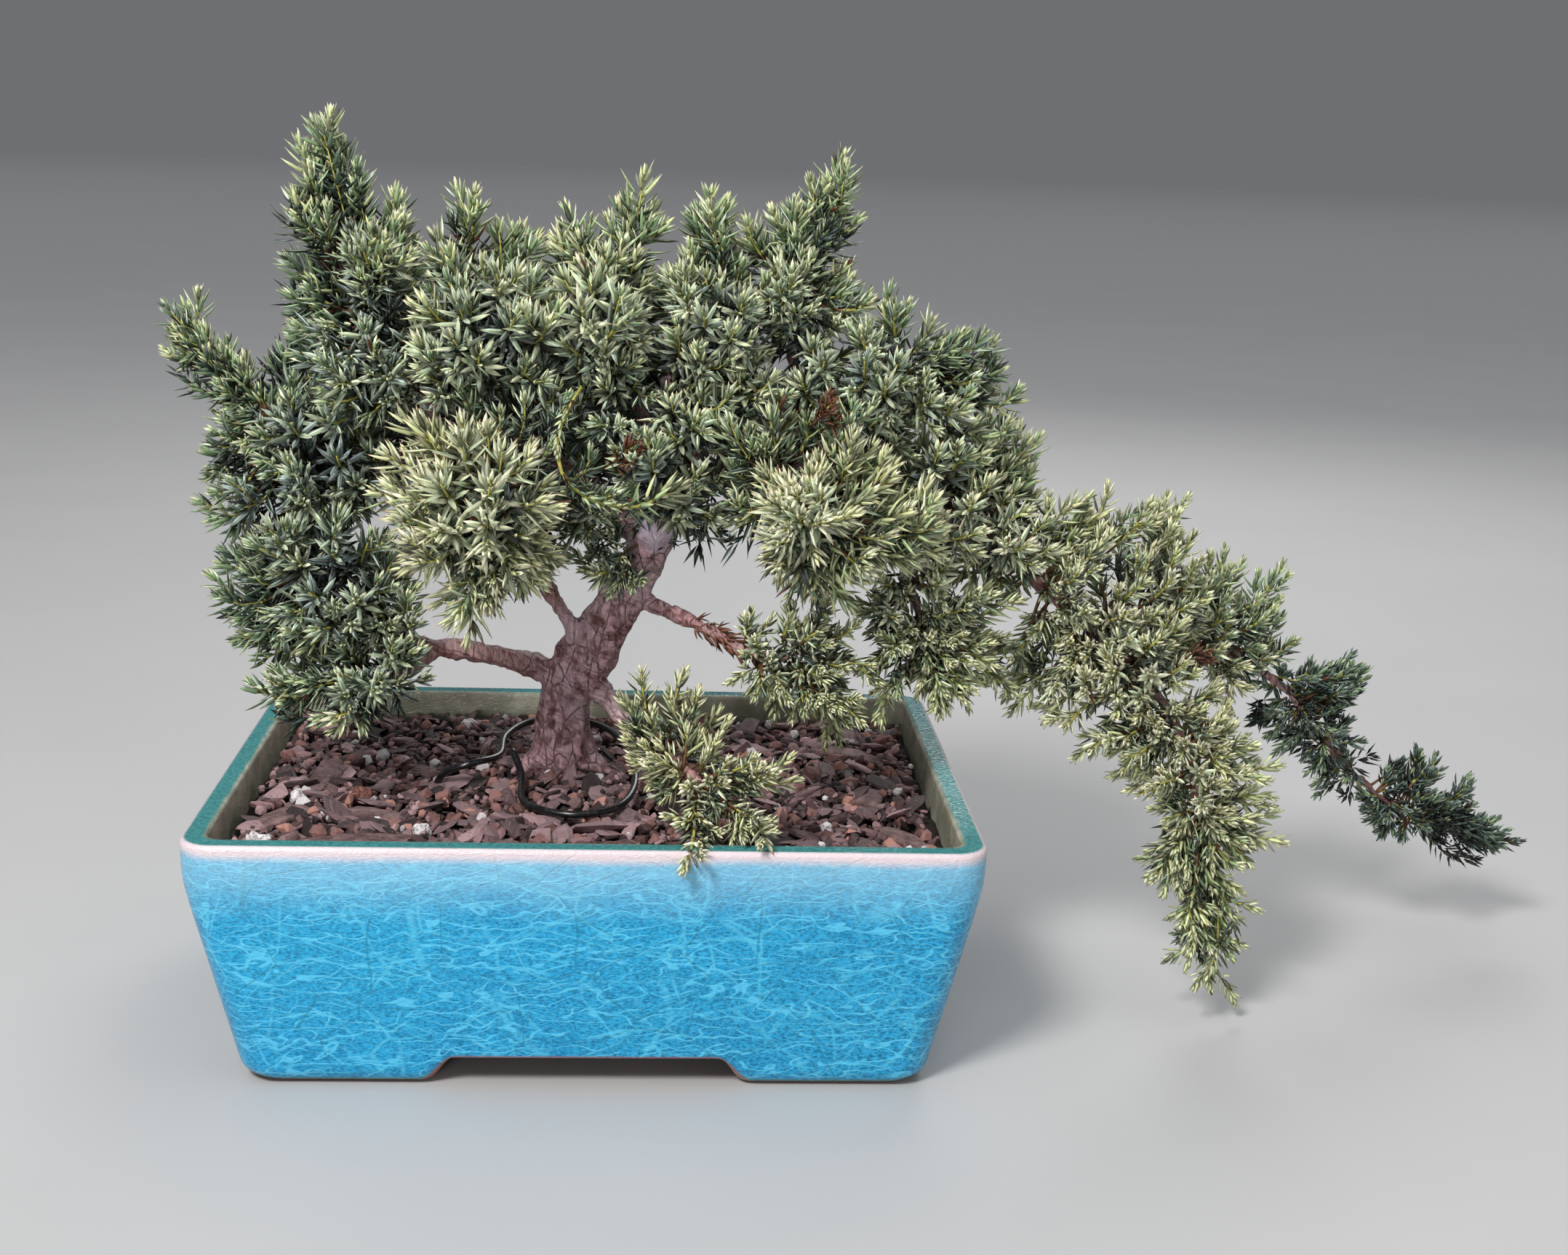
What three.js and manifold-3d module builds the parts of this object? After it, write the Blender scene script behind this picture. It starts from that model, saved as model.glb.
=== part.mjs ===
// A trailing juniper trained as a bonsai, planted in a rectangular glazed pot on four feet.
//
// Frame: millimetres, +Z up, +X along the pot towards the trailing limb, +Y to the back.
// Every piece is worked out about the middle of the pot's foot. The whole group is then moved
// so that the origin lies on the table below the middle of the model's own outer box.
import * as THREE from "three";
import { mergeVertices } from "three/addons/utils/BufferGeometryUtils.js";
import Module from "manifold-3d";

const wasm = await Module();
wasm.setup();

// ---------------------------------------------------------------- driving dimensions
const GAP = 0.3; // between pieces that touch

const POT_LENGTH = 200; // over the rim, along X
const POT_DEPTH = 150; // over the rim, along Y
const POT_HEIGHT = 68;
const POT_SLOPE = 0.204; // how far each wall leans in for each millimetre down
const POT_CORNER = 9; // plan radius of the outer corners
const RIM_WALL = 6.5;
const LIP_HEIGHT = 10; // the upright band at the top of the wall, which bends softly into the slope
const LIP_BEND = 8; // height over which it bends
const EDGE = 1.2; // rounding of the rim's edges
const FOOT_ROUND = 5; // rounding of the foot's outer edge
const FLOOR_UNDER = 10; // underside of the floor above the table
const FLOOR_THICK = 6;
const FOOT_WALL = 13; // thickness of the skirt that makes the feet
const FOOT_LENGTH = 46; // each foot along X
const FOOT_DEPTH = 36; // each foot along Y
const ARCH_HEIGHT = 8; // of the openings between the feet
const ARCH_CURVE = 10; // length of the S-curve at each end of an opening
const DRAIN_RADIUS = 8;
const DRAIN_SPREAD = 45; // each drain hole from the pot's middle
const SCREEN_SIDE = 26;
const SCREEN_THICK = 1.2;
const SCREEN_PITCH = 8; // of the screen's square openings
const SCREEN_BAR = 1.3;

const SOIL_DROP = 8; // soil at the walls below the rim
const MOUND_HEIGHT = 3; // soil at the trunk above the soil at the walls
const MOUND_SPREAD = 30;
const WIRE_RADIUS = 1;

const TRUNK_X = -9; // where the trunk leaves the soil
const TRUNK_Y = 12;
const TIP_CLEARANCE = 6; // lowest hanging shoot above the table

const rimX = POT_LENGTH / 2;
const rimY = POT_DEPTH / 2;
const floorTop = FLOOR_UNDER + FLOOR_THICK;
const soilEdge = POT_HEIGHT - SOIL_DROP;
const soilAtTrunk = soilEdge + MOUND_HEIGHT;

// ---------------------------------------------------------------- finishes
const finish = (color, roughness, metalness = 0) =>
  new THREE.MeshStandardMaterial({ color, roughness, metalness });
const GLAZE = finish(0x1ba6cc, 0.25);
const SCREEN_PLASTIC = finish(0x17181a, 0.6);
const BLACK_WIRE = finish(0x0b0b0c, 0.3, 0.4);
const SOIL = finish(0x3a2422, 0.95);
const BARK = finish(0x5a3a38, 0.7);
const CHIP = finish(0x5d3f38, 0.85);
const PERLITE = finish(0xe6e4df, 0.9);
const LAVA = finish(0x5e2b28, 0.9);
const DEAD_TWIG = finish(0x6b4634, 0.8);
const LEAF = finish(0x7d9b62, 0.6);

// ---------------------------------------------------------------- solids and booleans
const MERGE = 1e-4;

// A closed geometry as a manifold solid, with shared vertices merged and empty faces dropped.
function solid(geometry) {
  const bare = geometry.clone();
  Object.keys(bare.attributes)
    .filter((name) => name !== "position")
    .forEach((name) => bare.deleteAttribute(name));
  const merged = mergeVertices(bare, MERGE);
  const corner = merged.index.array;
  const kept = [];
  for (let i = 0; i < corner.length; i += 3) {
    const [a, b, c] = corner.slice(i, i + 3);
    if (a !== b && b !== c && a !== c) kept.push(a, b, c);
  }
  return new wasm.Manifold(
    new wasm.Mesh({
      numProp: 3,
      vertProperties: merged.attributes.position.array,
      triVerts: new Uint32Array(kept),
    }),
  );
}

// A manifold solid back as a three.js geometry.
function geometryOf(made) {
  const mesh = made.getMesh();
  const place = new Float32Array(mesh.numVert * 3);
  for (let i = 0; i < mesh.numVert; i++)
    place.set(mesh.vertProperties.subarray(i * mesh.numProp, i * mesh.numProp + 3), i * 3);
  const geometry = new THREE.BufferGeometry();
  geometry.setAttribute("position", new THREE.BufferAttribute(place, 3));
  geometry.setIndex(new THREE.BufferAttribute(mesh.triVerts, 1));
  geometry.computeVertexNormals();
  return geometry;
}

const union = (solids) => solids.reduce((all, one) => all.add(one));
const largest = (made) =>
  made.decompose().reduce((best, one) => (one.volume() > best.volume() ? one : best));

const root = new THREE.Group();

function addMesh(name, geometry, material, parent = root) {
  const mesh = new THREE.Mesh(geometry, material);
  mesh.name = name;
  parent.add(mesh);
  return mesh;
}

// A closed tube of `rows` bands of `sides` faces. at(t, angle) gives each vertex its place: t runs
// from 0 at the first end to 1 at the last, and angle is null at the middle of an end cap.
function mould(sides, rows, at) {
  const geometry = new THREE.CylinderGeometry(1, 1, 1, sides, rows);
  const place = geometry.attributes.position;
  for (let i = 0; i < place.count; i++) {
    const across = Math.hypot(place.getX(i), place.getZ(i));
    const angle = across < 0.5 ? null : Math.atan2(-place.getZ(i), place.getX(i));
    const { x, y, z } = at(place.getY(i) + 0.5, angle);
    place.setXYZ(i, x, y, z);
  }
  return geometry;
}

// A round limb, root or wire: `route` lists [x, y, z, radius] along a smooth curve.
function limb(route, { sides = 5, rows = route.length, extra = 0 } = {}) {
  const curve = new THREE.CatmullRomCurve3(
    route.map(([x, y, z]) => new THREE.Vector3(x, y, z)),
    false,
    "centripetal",
  );
  const frames = curve.computeFrenetFrames(rows, false);
  return mould(sides, rows, (t, angle) => {
    const row = Math.round(t * rows);
    const u = curve.getUtoTmapping(row / rows) * (route.length - 1);
    const before = Math.min(Math.floor(u), route.length - 2);
    const radius =
      THREE.MathUtils.lerp(route[before][3], route[before + 1][3], u - before) + extra;
    const middle = curve.getPointAt(row / rows);
    if (row === 0) middle.addScaledVector(frames.tangents[row], -extra);
    if (row === rows) middle.addScaledVector(frames.tangents[row], extra);
    if (angle === null) return middle;
    return middle
      .addScaledVector(frames.normals[row], radius * Math.cos(angle))
      .addScaledVector(frames.binormals[row], radius * Math.sin(angle));
  });
}

// Rounded rectangles stacked on each other: each section is [z, length, depth, corner radius].
const ARC_STEPS = 4;
function stack(sections) {
  const sides = 4 * (ARC_STEPS + 1);
  return mould(sides, sections.length - 1, (t, angle) => {
    const [z, length, depth, radius] = sections[Math.round(t * (sections.length - 1))];
    if (angle === null) return new THREE.Vector3(0, 0, z);
    const side = (Math.round((angle / (2 * Math.PI)) * sides) + sides) % sides;
    const corner = Math.floor(side / (ARC_STEPS + 1));
    const turn = ((side % (ARC_STEPS + 1)) / ARC_STEPS + corner) * (Math.PI / 2);
    const alongX = corner === 0 || corner === 3 ? 1 : -1;
    const alongY = corner < 2 ? 1 : -1;
    return new THREE.Vector3(
      alongX * (length / 2 - radius) + radius * Math.cos(turn),
      alongY * (depth / 2 - radius) + radius * Math.sin(turn),
      z,
    );
  });
}

// ---------------------------------------------------------------- pot
const lipFoot = POT_HEIGHT - LIP_HEIGHT;
// How far the wall leans in at height z: nothing on the lip, then an even slope.
const leanAt = (z) => {
  const below = lipFoot - z;
  return (POT_SLOPE / 2) * (below + Math.sqrt(below * below + (LIP_BEND * LIP_BEND) / 4));
};
// One level of the pot: the outer outline at height z, set in by `inset` all round.
const level = (z, inset, corner = Math.max(POT_CORNER - inset, 1)) => [
  z,
  POT_LENGTH - 2 * (leanAt(z) + inset),
  POT_DEPTH - 2 * (leanAt(z) + inset),
  corner,
];

// The inside of the pot from the floor up, set in by a further `gap`.
const INNER_CORNER = 5;
const insideOfPot = (gap, top) =>
  solid(
    stack(
      [floorTop + gap, lipFoot - LIP_BEND / 2, lipFoot + LIP_BEND / 2, top].map((z) =>
        level(z, RIM_WALL + gap, INNER_CORNER),
      ),
    ),
  );

// The opening between two feet, seen from the side: an arch with an S-curve at each end.
function archCutter(halfSpan, through) {
  const below = -1;
  const roof = halfSpan - ARCH_CURVE;
  const bend = ARCH_CURVE / 2;
  const shape = new THREE.Shape();
  shape.moveTo(-halfSpan, below);
  shape.lineTo(halfSpan, below);
  shape.lineTo(halfSpan, 0);
  shape.bezierCurveTo(halfSpan - bend, 0, roof + bend, ARCH_HEIGHT, roof, ARCH_HEIGHT);
  shape.lineTo(-roof, ARCH_HEIGHT);
  shape.bezierCurveTo(-roof - bend, ARCH_HEIGHT, -halfSpan + bend, 0, -halfSpan, 0);
  const block = new THREE.ExtrudeGeometry(shape, {
    depth: through,
    bevelEnabled: false,
    curveSegments: 6,
  });
  return block.translate(0, 0, -through / 2).rotateX(Math.PI / 2);
}

const footLean = leanAt(FOOT_ROUND);
const footLength = POT_LENGTH - 2 * footLean;
const footDepth = POT_DEPTH - 2 * footLean;
const drains = [-DRAIN_SPREAD, DRAIN_SPREAD];

function makePot() {
  const beyond = 1; // how far a cutter runs past the pot's own faces
  // The foot's round edge in two flats, close to a quarter circle.
  const flatBottom = FOOT_ROUND * 0.8;
  const bend = { height: FOOT_ROUND * 0.3, inset: FOOT_ROUND * 0.29 };
  const body = solid(
    stack([
      level(0, flatBottom),
      level(bend.height, bend.inset),
      level(FOOT_ROUND, 0),
      level(lipFoot - LIP_BEND / 2, 0),
      level(lipFoot + LIP_BEND / 2, 0),
      level(POT_HEIGHT - EDGE, 0),
      level(POT_HEIGHT, EDGE),
    ]),
  );
  const under = solid(
    stack([
      [-beyond, footLength - 2 * FOOT_WALL, footDepth - 2 * FOOT_WALL, 3],
      [FLOOR_UNDER, footLength - 2 * FOOT_WALL, footDepth - 2 * FOOT_WALL, 3],
    ]),
  );
  const frontArch = solid(archCutter(footLength / 2 - FOOT_LENGTH, POT_DEPTH));
  const sideArch = solid(
    archCutter(footDepth / 2 - FOOT_DEPTH, POT_LENGTH).rotateZ(Math.PI / 2),
  );
  const holes = drains.map((x) =>
    solid(
      new THREE.CylinderGeometry(DRAIN_RADIUS, DRAIN_RADIUS, FLOOR_THICK + 2 * beyond, 20)
        .rotateX(Math.PI / 2)
        .translate(x, 0, FLOOR_UNDER + FLOOR_THICK / 2),
    ),
  );
  return [insideOfPot(0, POT_HEIGHT + beyond), under, frontArch, sideArch, ...holes].reduce(
    (left, cutter) => left.subtract(cutter),
    body,
  );
}

// ---------------------------------------------------------------- anchor wire
// One wire holds the root ball: it loops round the foot of the trunk, goes down through the left
// drain hole, crosses under the floor, comes up through the right one and is tucked in again.
const wireZ = (height) => soilAtTrunk + height;
const underFloor = FLOOR_UNDER - GAP - WIRE_RADIUS;
const wireRoute = [
  [-23, -4, wireZ(9)],
  [-20, -11, wireZ(4)],
  [-19, -22, wireZ(0.5)],
  [-13, -31, wireZ(0.5)],
  [-3, -34, wireZ(0.5)],
  [7, -28, wireZ(1)],
  [11, -14, wireZ(3)],
  [9, 4, wireZ(6)],
  [3, 20, wireZ(8)],
  [-9, 27, wireZ(9)],
  [-20, 23, wireZ(9)],
  [-26, 12, wireZ(8)],
  [-27, 0, wireZ(6)],
  [-34, -8, wireZ(6)],
  [-42, -6, wireZ(2)],
  [-DRAIN_SPREAD, 0, wireZ(-8)],
  [-DRAIN_SPREAD, 0, wireZ(-20)],
  [-DRAIN_SPREAD, 0, floorTop],
  [-DRAIN_SPREAD + 1, 0, FLOOR_UNDER + 1],
  [-DRAIN_SPREAD + 6, 0, underFloor],
  [-DRAIN_SPREAD / 3, 0, underFloor],
  [DRAIN_SPREAD / 3, 0, underFloor],
  [DRAIN_SPREAD - 6, 0, underFloor],
  [DRAIN_SPREAD - 1, 0, FLOOR_UNDER + 1],
  [DRAIN_SPREAD, 0, floorTop],
  [DRAIN_SPREAD, 0, wireZ(-20)],
  [DRAIN_SPREAD, 0, wireZ(-8)],
  [DRAIN_SPREAD - 5, 1, wireZ(1)],
  [28, 4, wireZ(4)],
  [19, 8, wireZ(3)],
].map((point) => [...point, WIRE_RADIUS]);
const WIRE_ROWS = 64;
const WIRE_SIDES = 6;
const wireSolid = (extra) =>
  solid(limb(wireRoute, { sides: WIRE_SIDES, rows: WIRE_ROWS, extra }));

// ---------------------------------------------------------------- drainage screens
function makeScreen(x, wireRoom) {
  const spaces = Math.floor((SCREEN_SIDE - SCREEN_BAR) / SCREEN_PITCH);
  const span = SCREEN_SIDE - SCREEN_BAR;
  const bars = [];
  for (let i = 0; i <= spaces; i++) {
    const off = -span / 2 + (i * span) / spaces;
    const along = new THREE.BoxGeometry(SCREEN_SIDE, SCREEN_BAR, SCREEN_THICK);
    const across = new THREE.BoxGeometry(SCREEN_BAR, SCREEN_SIDE, SCREEN_THICK);
    bars.push(solid(along.translate(0, off, 0)), solid(across.translate(off, 0, 0)));
  }
  const net = union(bars).translate([x, 0, floorTop + GAP + SCREEN_THICK / 2]);
  return largest(net.subtract(wireRoom));
}

// ---------------------------------------------------------------- wood
// Heights of the tree's points are above the soil at the trunk.
const at = (x, y, height, radius) => [x, y, soilAtTrunk + height, radius];
// A point of the trailing limb, measured from the pot's right rim.
const past = (x, y, height, radius) => at(rimX + x, y, height, radius);

const wood = [
  // trunk, from the root stump up to where it is lost among the shoots
  [
    at(TRUNK_X, TRUNK_Y, -22, 8),
    at(TRUNK_X, TRUNK_Y, -5, 10.5),
    at(TRUNK_X, TRUNK_Y, 2, 9.6),
    at(TRUNK_X - 1, 11, 12, 8),
    at(-9, 9, 22, 7.6),
    at(-4, 6, 32, 8.2),
    at(2, 4, 42, 7.3),
    at(7, 2, 51, 6.7),
    at(11, 0, 60, 6.4),
    at(15, -3, 70, 6.2),
    at(19, -4, 80, 5.4),
    at(21, -1, 94, 4.4),
    at(18, 3, 112, 2.6),
  ],
  // roots that show at the foot of the trunk and spread under the soil
  [at(TRUNK_X, TRUNK_Y, 4, 6), at(TRUNK_X - 13, 7, -4, 4.5), at(TRUNK_X - 27, 2, -12, 2.5)],
  [at(TRUNK_X, TRUNK_Y, 4, 6), at(TRUNK_X + 12, 5, -5, 4.5), at(TRUNK_X + 26, -3, -13, 2.5)],
  [at(TRUNK_X, TRUNK_Y, 3, 6), at(TRUNK_X - 2, TRUNK_Y + 13, -5, 4.5), at(TRUNK_X, 38, -13, 2.5)],
  [at(TRUNK_X, TRUNK_Y, 4, 5), at(TRUNK_X - 3, 0, -5, 4), at(TRUNK_X - 5, -12, -14, 2.5)],
  // low left limb and its fork
  [
    at(-7, 7, 26, 5),
    at(-15, 8, 29, 4.2),
    at(-26, 4, 33, 3.4),
    at(-35, 0, 36, 3.1),
    at(-45, -4, 37, 2.8),
    at(-56, -4, 44, 2.3),
    at(-74, 0, 56, 1.6),
  ],
  [at(-44, -4, 37, 2.4), at(-51, -9, 32, 2), at(-60, -12, 30, 1.5)],
  // snag on the left of the trunk
  [at(-5, 4, 37, 3), at(-9, 2, 46, 2.5), at(-14, 0, 54, 2.2), at(-18, -3, 63, 1.6)],
  // low front limb that leans out over the rim
  [
    at(-3, 6, 27, 4),
    at(1, 1, 25, 2.9),
    at(7, -9, 19, 2.4),
    at(14, -20, 16, 2),
    at(20, -34, 17, 1.8),
    at(28, -50, 15, 1.4),
  ],
  // thin right limb
  [
    at(5, 1, 52, 4),
    at(12, -1, 51, 3),
    at(20, -6, 49, 2.6),
    at(34, -13, 44, 2.3),
    at(42, -18, 40, 2),
    at(54, -18, 40, 1.6),
  ],
  // upper left limb, its side branch and the branch to the front
  [
    at(13, -3, 69, 4.6),
    at(0, 0, 78, 3.9),
    at(-16, 2, 86, 3.4),
    at(-34, 3, 95, 2.9),
    at(-50, 4, 106, 2.3),
    at(-62, 3, 126, 1.5),
  ],
  [at(-32, 3, 94, 2.4), at(-50, 6, 88, 2), at(-66, 8, 87, 1.7), at(-90, 11, 98, 1.2)],
  [at(-14, 2, 85, 2.6), at(-22, -14, 85, 2.1), at(-28, -34, 80, 1.4)],
  // leaders of the crown
  [at(19, -2, 90, 3), at(8, 2, 106, 2.3), at(2, 4, 128, 1.5)],
  [at(-16, 2, 86, 2.6), at(-24, 1, 104, 2.1), at(-28, 0, 124, 1.5)],
  [at(33, 2, 86, 2.8), at(35, 6, 108, 2), at(33, 7, 130, 1.4)],
  [at(50, 6, 88, 2.8), at(52, 10, 108, 2), at(52, 12, 136, 1.4)],
  [at(66, 7, 88, 2.8), at(76, 8, 104, 2), at(82, 9, 116, 1.4)],
  // right limb, which runs out over the rim and trails down past it
  [
    at(18, -3, 80, 5),
    at(33, 2, 86, 4.3),
    at(50, 6, 89, 3.9),
    at(68, 7, 87, 3.5),
    past(-14, 6, 80, 3.2),
    past(4, 6, 70, 2.9),
    past(20, 6, 59, 2.7),
    past(36, 5, 46, 2.4),
    past(52, 0, 32, 2.2),
    past(64, -8, 16, 1.8),
    past(68, -15, -4, 1.4),
  ],
  [at(40, 4, 87, 2.6), at(48, -16, 82, 2), at(56, -34, 80, 1.4)],
  [past(-14, 6, 80, 2.4), at(84, -4, 62, 1.9), at(90, -8, 44, 1.4)],
  [past(34, 5, 47, 2.2), past(56, 14, 45, 1.9), past(78, 24, 37, 1.6), past(104, 32, 20, 1.3)],
  [past(102, 31, 22, 1.4), past(118, 36, 3, 1.3), past(136, 39, -14, 1.2), past(152, 43, -24, 1)],
  // limbs to the back of the crown
  [at(11, -2, 68, 3.6), at(-2, 10, 80, 3), at(-24, 22, 92, 2.4), at(-50, 32, 96, 1.5)],
  [at(16, -3, 76, 3.6), at(24, 12, 90, 2.8), at(46, 26, 94, 2.2), at(70, 34, 92, 1.5)],
];
const woodSolid = (extra) =>
  union(wood.map((route, i) => solid(limb(route, { sides: i === 0 ? 8 : 5, extra }))));

// ---------------------------------------------------------------- foliage
// A pad of shoots is a few plump spindles that grow out of one heart. Each spindle's last number
// is its greatest radius, needles included.
const HEART_SHARE = 0.5; // girth at the heart, as a share of the greatest
const PROFILE = [
  [HEART_SHARE, 0.08],
  [1, 0.55],
  [0.74, 0.88],
];
const SPINDLE_SIDES = 6;

function spindle(from, [x, y, z, radius], extra) {
  const reach = new THREE.Vector3(x, y, z).sub(from);
  const length = reach.length() + 2 * extra;
  const outline = [
    new THREE.Vector2(0, 0),
    ...PROFILE.map(([share, along]) => new THREE.Vector2(share * radius + extra, along * length)),
    new THREE.Vector2(0, length),
  ];
  const direction = reach.normalize();
  const turn = new THREE.Quaternion().setFromUnitVectors(new THREE.Vector3(0, 1, 0), direction);
  return new THREE.LatheGeometry(outline, SPINDLE_SIDES)
    .translate(0, -extra, 0)
    .applyQuaternion(turn)
    .translate(from.x, from.y, from.z);
}

const overRim = -rimY - 6; // how far the low front shoots lean out
const lowest = TIP_CLEARANCE - soilAtTrunk;

const pads = {
  // left of the trunk
  left_crown: [
    [-46, 0, 132],
    [
      at(-74, -2, 178, 7),
      at(-82, 0, 176, 6),
      at(-60, 4, 166, 8),
      at(-83, -8, 162, 7),
      at(-65, -20, 152, 12),
    ],
  ],
  left_shoulder: [
    [-52, 4, 110],
    [at(-84, 6, 145, 12), at(-82, 0, 127, 14), at(-70, -22, 116, 16), at(-66, 24, 132, 14)],
  ],
  left_spire: [[-86, 11, 92], [at(-117, 12, 130, 7), at(-106, 15, 119, 7), at(-106, 14, 98, 11)]],
  left_side: [
    [-62, 8, 86],
    [
      at(-105, 6, 84, 14),
      at(-88, 32, 120, 8),
      at(-92, 24, 94, 13),
      at(-101, -8, 72, 14),
      at(-82, -20, 96, 15),
    ],
  ],
  left_low: [
    [-54, 0, 60],
    [
      at(-102, 2, 60, 13),
      at(-101, -6, 45, 13),
      at(-88, -20, 76, 14),
      at(-80, -24, 54, 15),
      at(-94, -2, 34, 11),
    ],
  ],
  left_skirt: [
    [-50, -6, 38],
    [at(-92, -18, 28, 8), at(-66, -36, 26, 8), at(-80, -12, 38, 11), at(-62, -24, 44, 12)],
  ],
  front_left: [
    [-33, -20, 86],
    [
      at(-26, -58, 88, 17),
      at(-38, -54, 70, 14),
      at(-20, -50, 63, 13),
      at(-44, -46, 92, 14),
      at(-30, -48, 53, 7),
    ],
  ],
  // above the trunk
  crown_inner_left: [
    [-25, 0, 114],
    [
      at(-37, 0, 162, 8),
      at(-43, -12, 148, 12),
      at(-24, 5, 154, 9),
      at(-38, -34, 130, 16),
      at(-20, -32, 136, 15),
    ],
  ],
  crown_middle: [
    [2, 4, 118],
    [at(-10, 12, 156, 9), at(11, 6, 166, 9), at(3, -6, 148, 12), at(-4, -34, 136, 15)],
  ],
  heart: [
    [-6, 0, 88],
    [
      at(-30, -30, 108, 17),
      at(-10, -34, 104, 15),
      at(14, -26, 108, 15),
      at(15, -42, 94, 9),
      at(-24, -12, 90, 13),
    ],
  ],
  trunk_tuft: [[-6, -6, 66], [at(6, -22, 63, 8), at(-20, -18, 70, 9), at(-6, -16, 76, 10)]],
  crown_inner_right: [
    [33, 7, 120],
    [at(27, 4, 164, 9), at(40, 10, 158, 9), at(20, -4, 148, 12), at(26, -28, 134, 15)],
  ],
  right_peak: [
    [50, 12, 122],
    [at(65, 12, 175, 8), at(53, 8, 163, 9), at(69, 10, 142, 10), at(48, -12, 144, 12)],
  ],
  middle_right: [
    [33, 0, 92],
    [at(26, -32, 108, 15), at(44, -28, 112, 15), at(21, -32, 84, 12), at(34, -28, 80, 12)],
  ],
  // right of the trunk
  right_shoulder: [
    [66, 8, 104],
    [at(72, 2, 139, 12), at(84, 5, 132, 11), at(96, 12, 126, 10), at(66, -24, 120, 17)],
  ],
  right_slope: [
    [84, 8, 92],
    [at(107, 10, 125, 9), at(115, 10, 106, 13), at(92, -16, 108, 15), at(122, 14, 94, 11)],
  ],
  front_right: [
    [58, -14, 80],
    [
      at(50, -56, 84, 15),
      at(68, -52, 80, 15),
      at(88, -42, 80, 13),
      at(53, -40, 64, 14),
      at(72, -40, 94, 15),
    ],
  ],
  right_side: [
    [90, 2, 70],
    [at(130, 10, 80, 9), at(128, 8, 64, 12), at(108, -20, 74, 14), at(102, -16, 56, 13)],
  ],
  right_skirt: [
    [54, -14, 44],
    [
      at(76, -30, 27, 11),
      at(50, -32, 32, 11),
      at(66, -30, 50, 13),
      at(82, -22, 56, 12),
      at(42, -28, 46, 9),
    ],
  ],
  right_skirt_end: [
    [90, -4, 44],
    [at(98, -24, 26, 11), at(109, -14, 36, 12), at(86, -26, 42, 10), at(100, -20, 48, 12)],
  ],
  // the trailing limb
  trail_shoulder: [
    [rimX + 33, 7, 50],
    [past(51, 4, 84, 9), past(62, 9, 76, 9), past(44, -12, 62, 14), past(67, 4, 60, 13)],
  ],
  trail_back: [
    [rimX + 62, 16, 44],
    [past(86, 30, 57, 10), past(97, 34, 52, 9), past(102, 30, 36, 12), past(80, 14, 46, 13)],
  ],
  trail_middle: [
    [rimX + 34, 2, 40],
    [
      past(60, -16, 36, 15),
      past(36, -16, 16, 13),
      past(82, 4, 25, 13),
      past(14, -4, 26, 12),
    ],
  ],
  trail_front: [
    [rimX + 56, -6, 22],
    [
      past(77, -14, 6, 13),
      past(89, -10, 2, 10),
      past(66, -22, -5, 13),
      past(50, -20, 4, 12),
      past(92, -12, -15, 9),
    ],
  ],
  trail_tip: [
    [rimX + 68, -14, -4],
    [
      [rimX + 73, -22, soilAtTrunk + lowest, 7],
      [rimX + 66, -24, soilAtTrunk + lowest + 7, 6],
      [rimX + 80, -20, soilAtTrunk + lowest + 8, 7],
      past(53, -22, -26, 9),
      past(80, -18, -24, 9),
    ],
  ],
  far_runner: [
    [rimX + 98, 30, 24],
    [past(132, 40, 24, 8), past(125, 40, 14, 8), past(116, 36, -2, 9), past(130, 38, -10, 8)],
  ],
  far_end: [
    [rimX + 134, 39, -14],
    [past(160, 46, -3, 7), past(148, 40, -30, 7), past(171, 46, -18, 7), past(189, 47, -33, 6)],
  ],
  // the low front limb
  low_front: [
    [14, -26, 22],
    [at(12, -34, 38, 8), at(26, -36, 40, 8), at(37, -44, 26, 9), at(18, -50, 12, 8)],
  ],
  low_front_tip: [
    [29, -52, 16],
    [
      at(54, -62, 22, 8),
      at(42, -68, 14, 7),
      [23, overRim, soilAtTrunk + 1, 6],
      [48, overRim + 2, soilAtTrunk + 7, 6],
    ],
  ],
  // the back of the crown
  back_left: [
    [-46, 20, 98],
    [at(-72, 44, 110, 15), at(-46, 52, 104, 15), at(-88, 38, 86, 13), at(-56, 46, 76, 13)],
  ],
  back_middle: [
    [-2, 16, 104],
    [at(-16, 50, 120, 15), at(12, 54, 110, 15), at(-2, 52, 86, 13), at(22, 42, 134, 12)],
  ],
  back_right: [
    [54, 20, 96],
    [at(42, 52, 98, 15), at(72, 50, 100, 15), at(95, 42, 84, 13), at(60, 48, 74, 13)],
  ],
};

const padSolid = ([heart, tips], extra) => {
  const from = new THREE.Vector3(heart[0], heart[1], soilAtTrunk + heart[2]);
  return union(tips.map((tip) => solid(spindle(from, tip, extra))));
};

// ---------------------------------------------------------------- soil and what lies on it
const soilHeight = (x, y) => {
  const away = Math.hypot(x - TRUNK_X, y - TRUNK_Y) / MOUND_SPREAD;
  return soilEdge + MOUND_HEIGHT * Math.exp(-away * away);
};

function makeSoil() {
  const tall = POT_HEIGHT - floorTop;
  const block = new THREE.BoxGeometry(POT_LENGTH, POT_DEPTH, tall, 8, 6, 1);
  block.translate(0, 0, floorTop + tall / 2);
  const place = block.attributes.position;
  for (let i = 0; i < place.count; i++)
    if (place.getZ(i) > floorTop + tall / 2)
      place.setZ(i, soilHeight(place.getX(i), place.getY(i)));
  return solid(block).intersect(insideOfPot(GAP, POT_HEIGHT));
}

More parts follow.
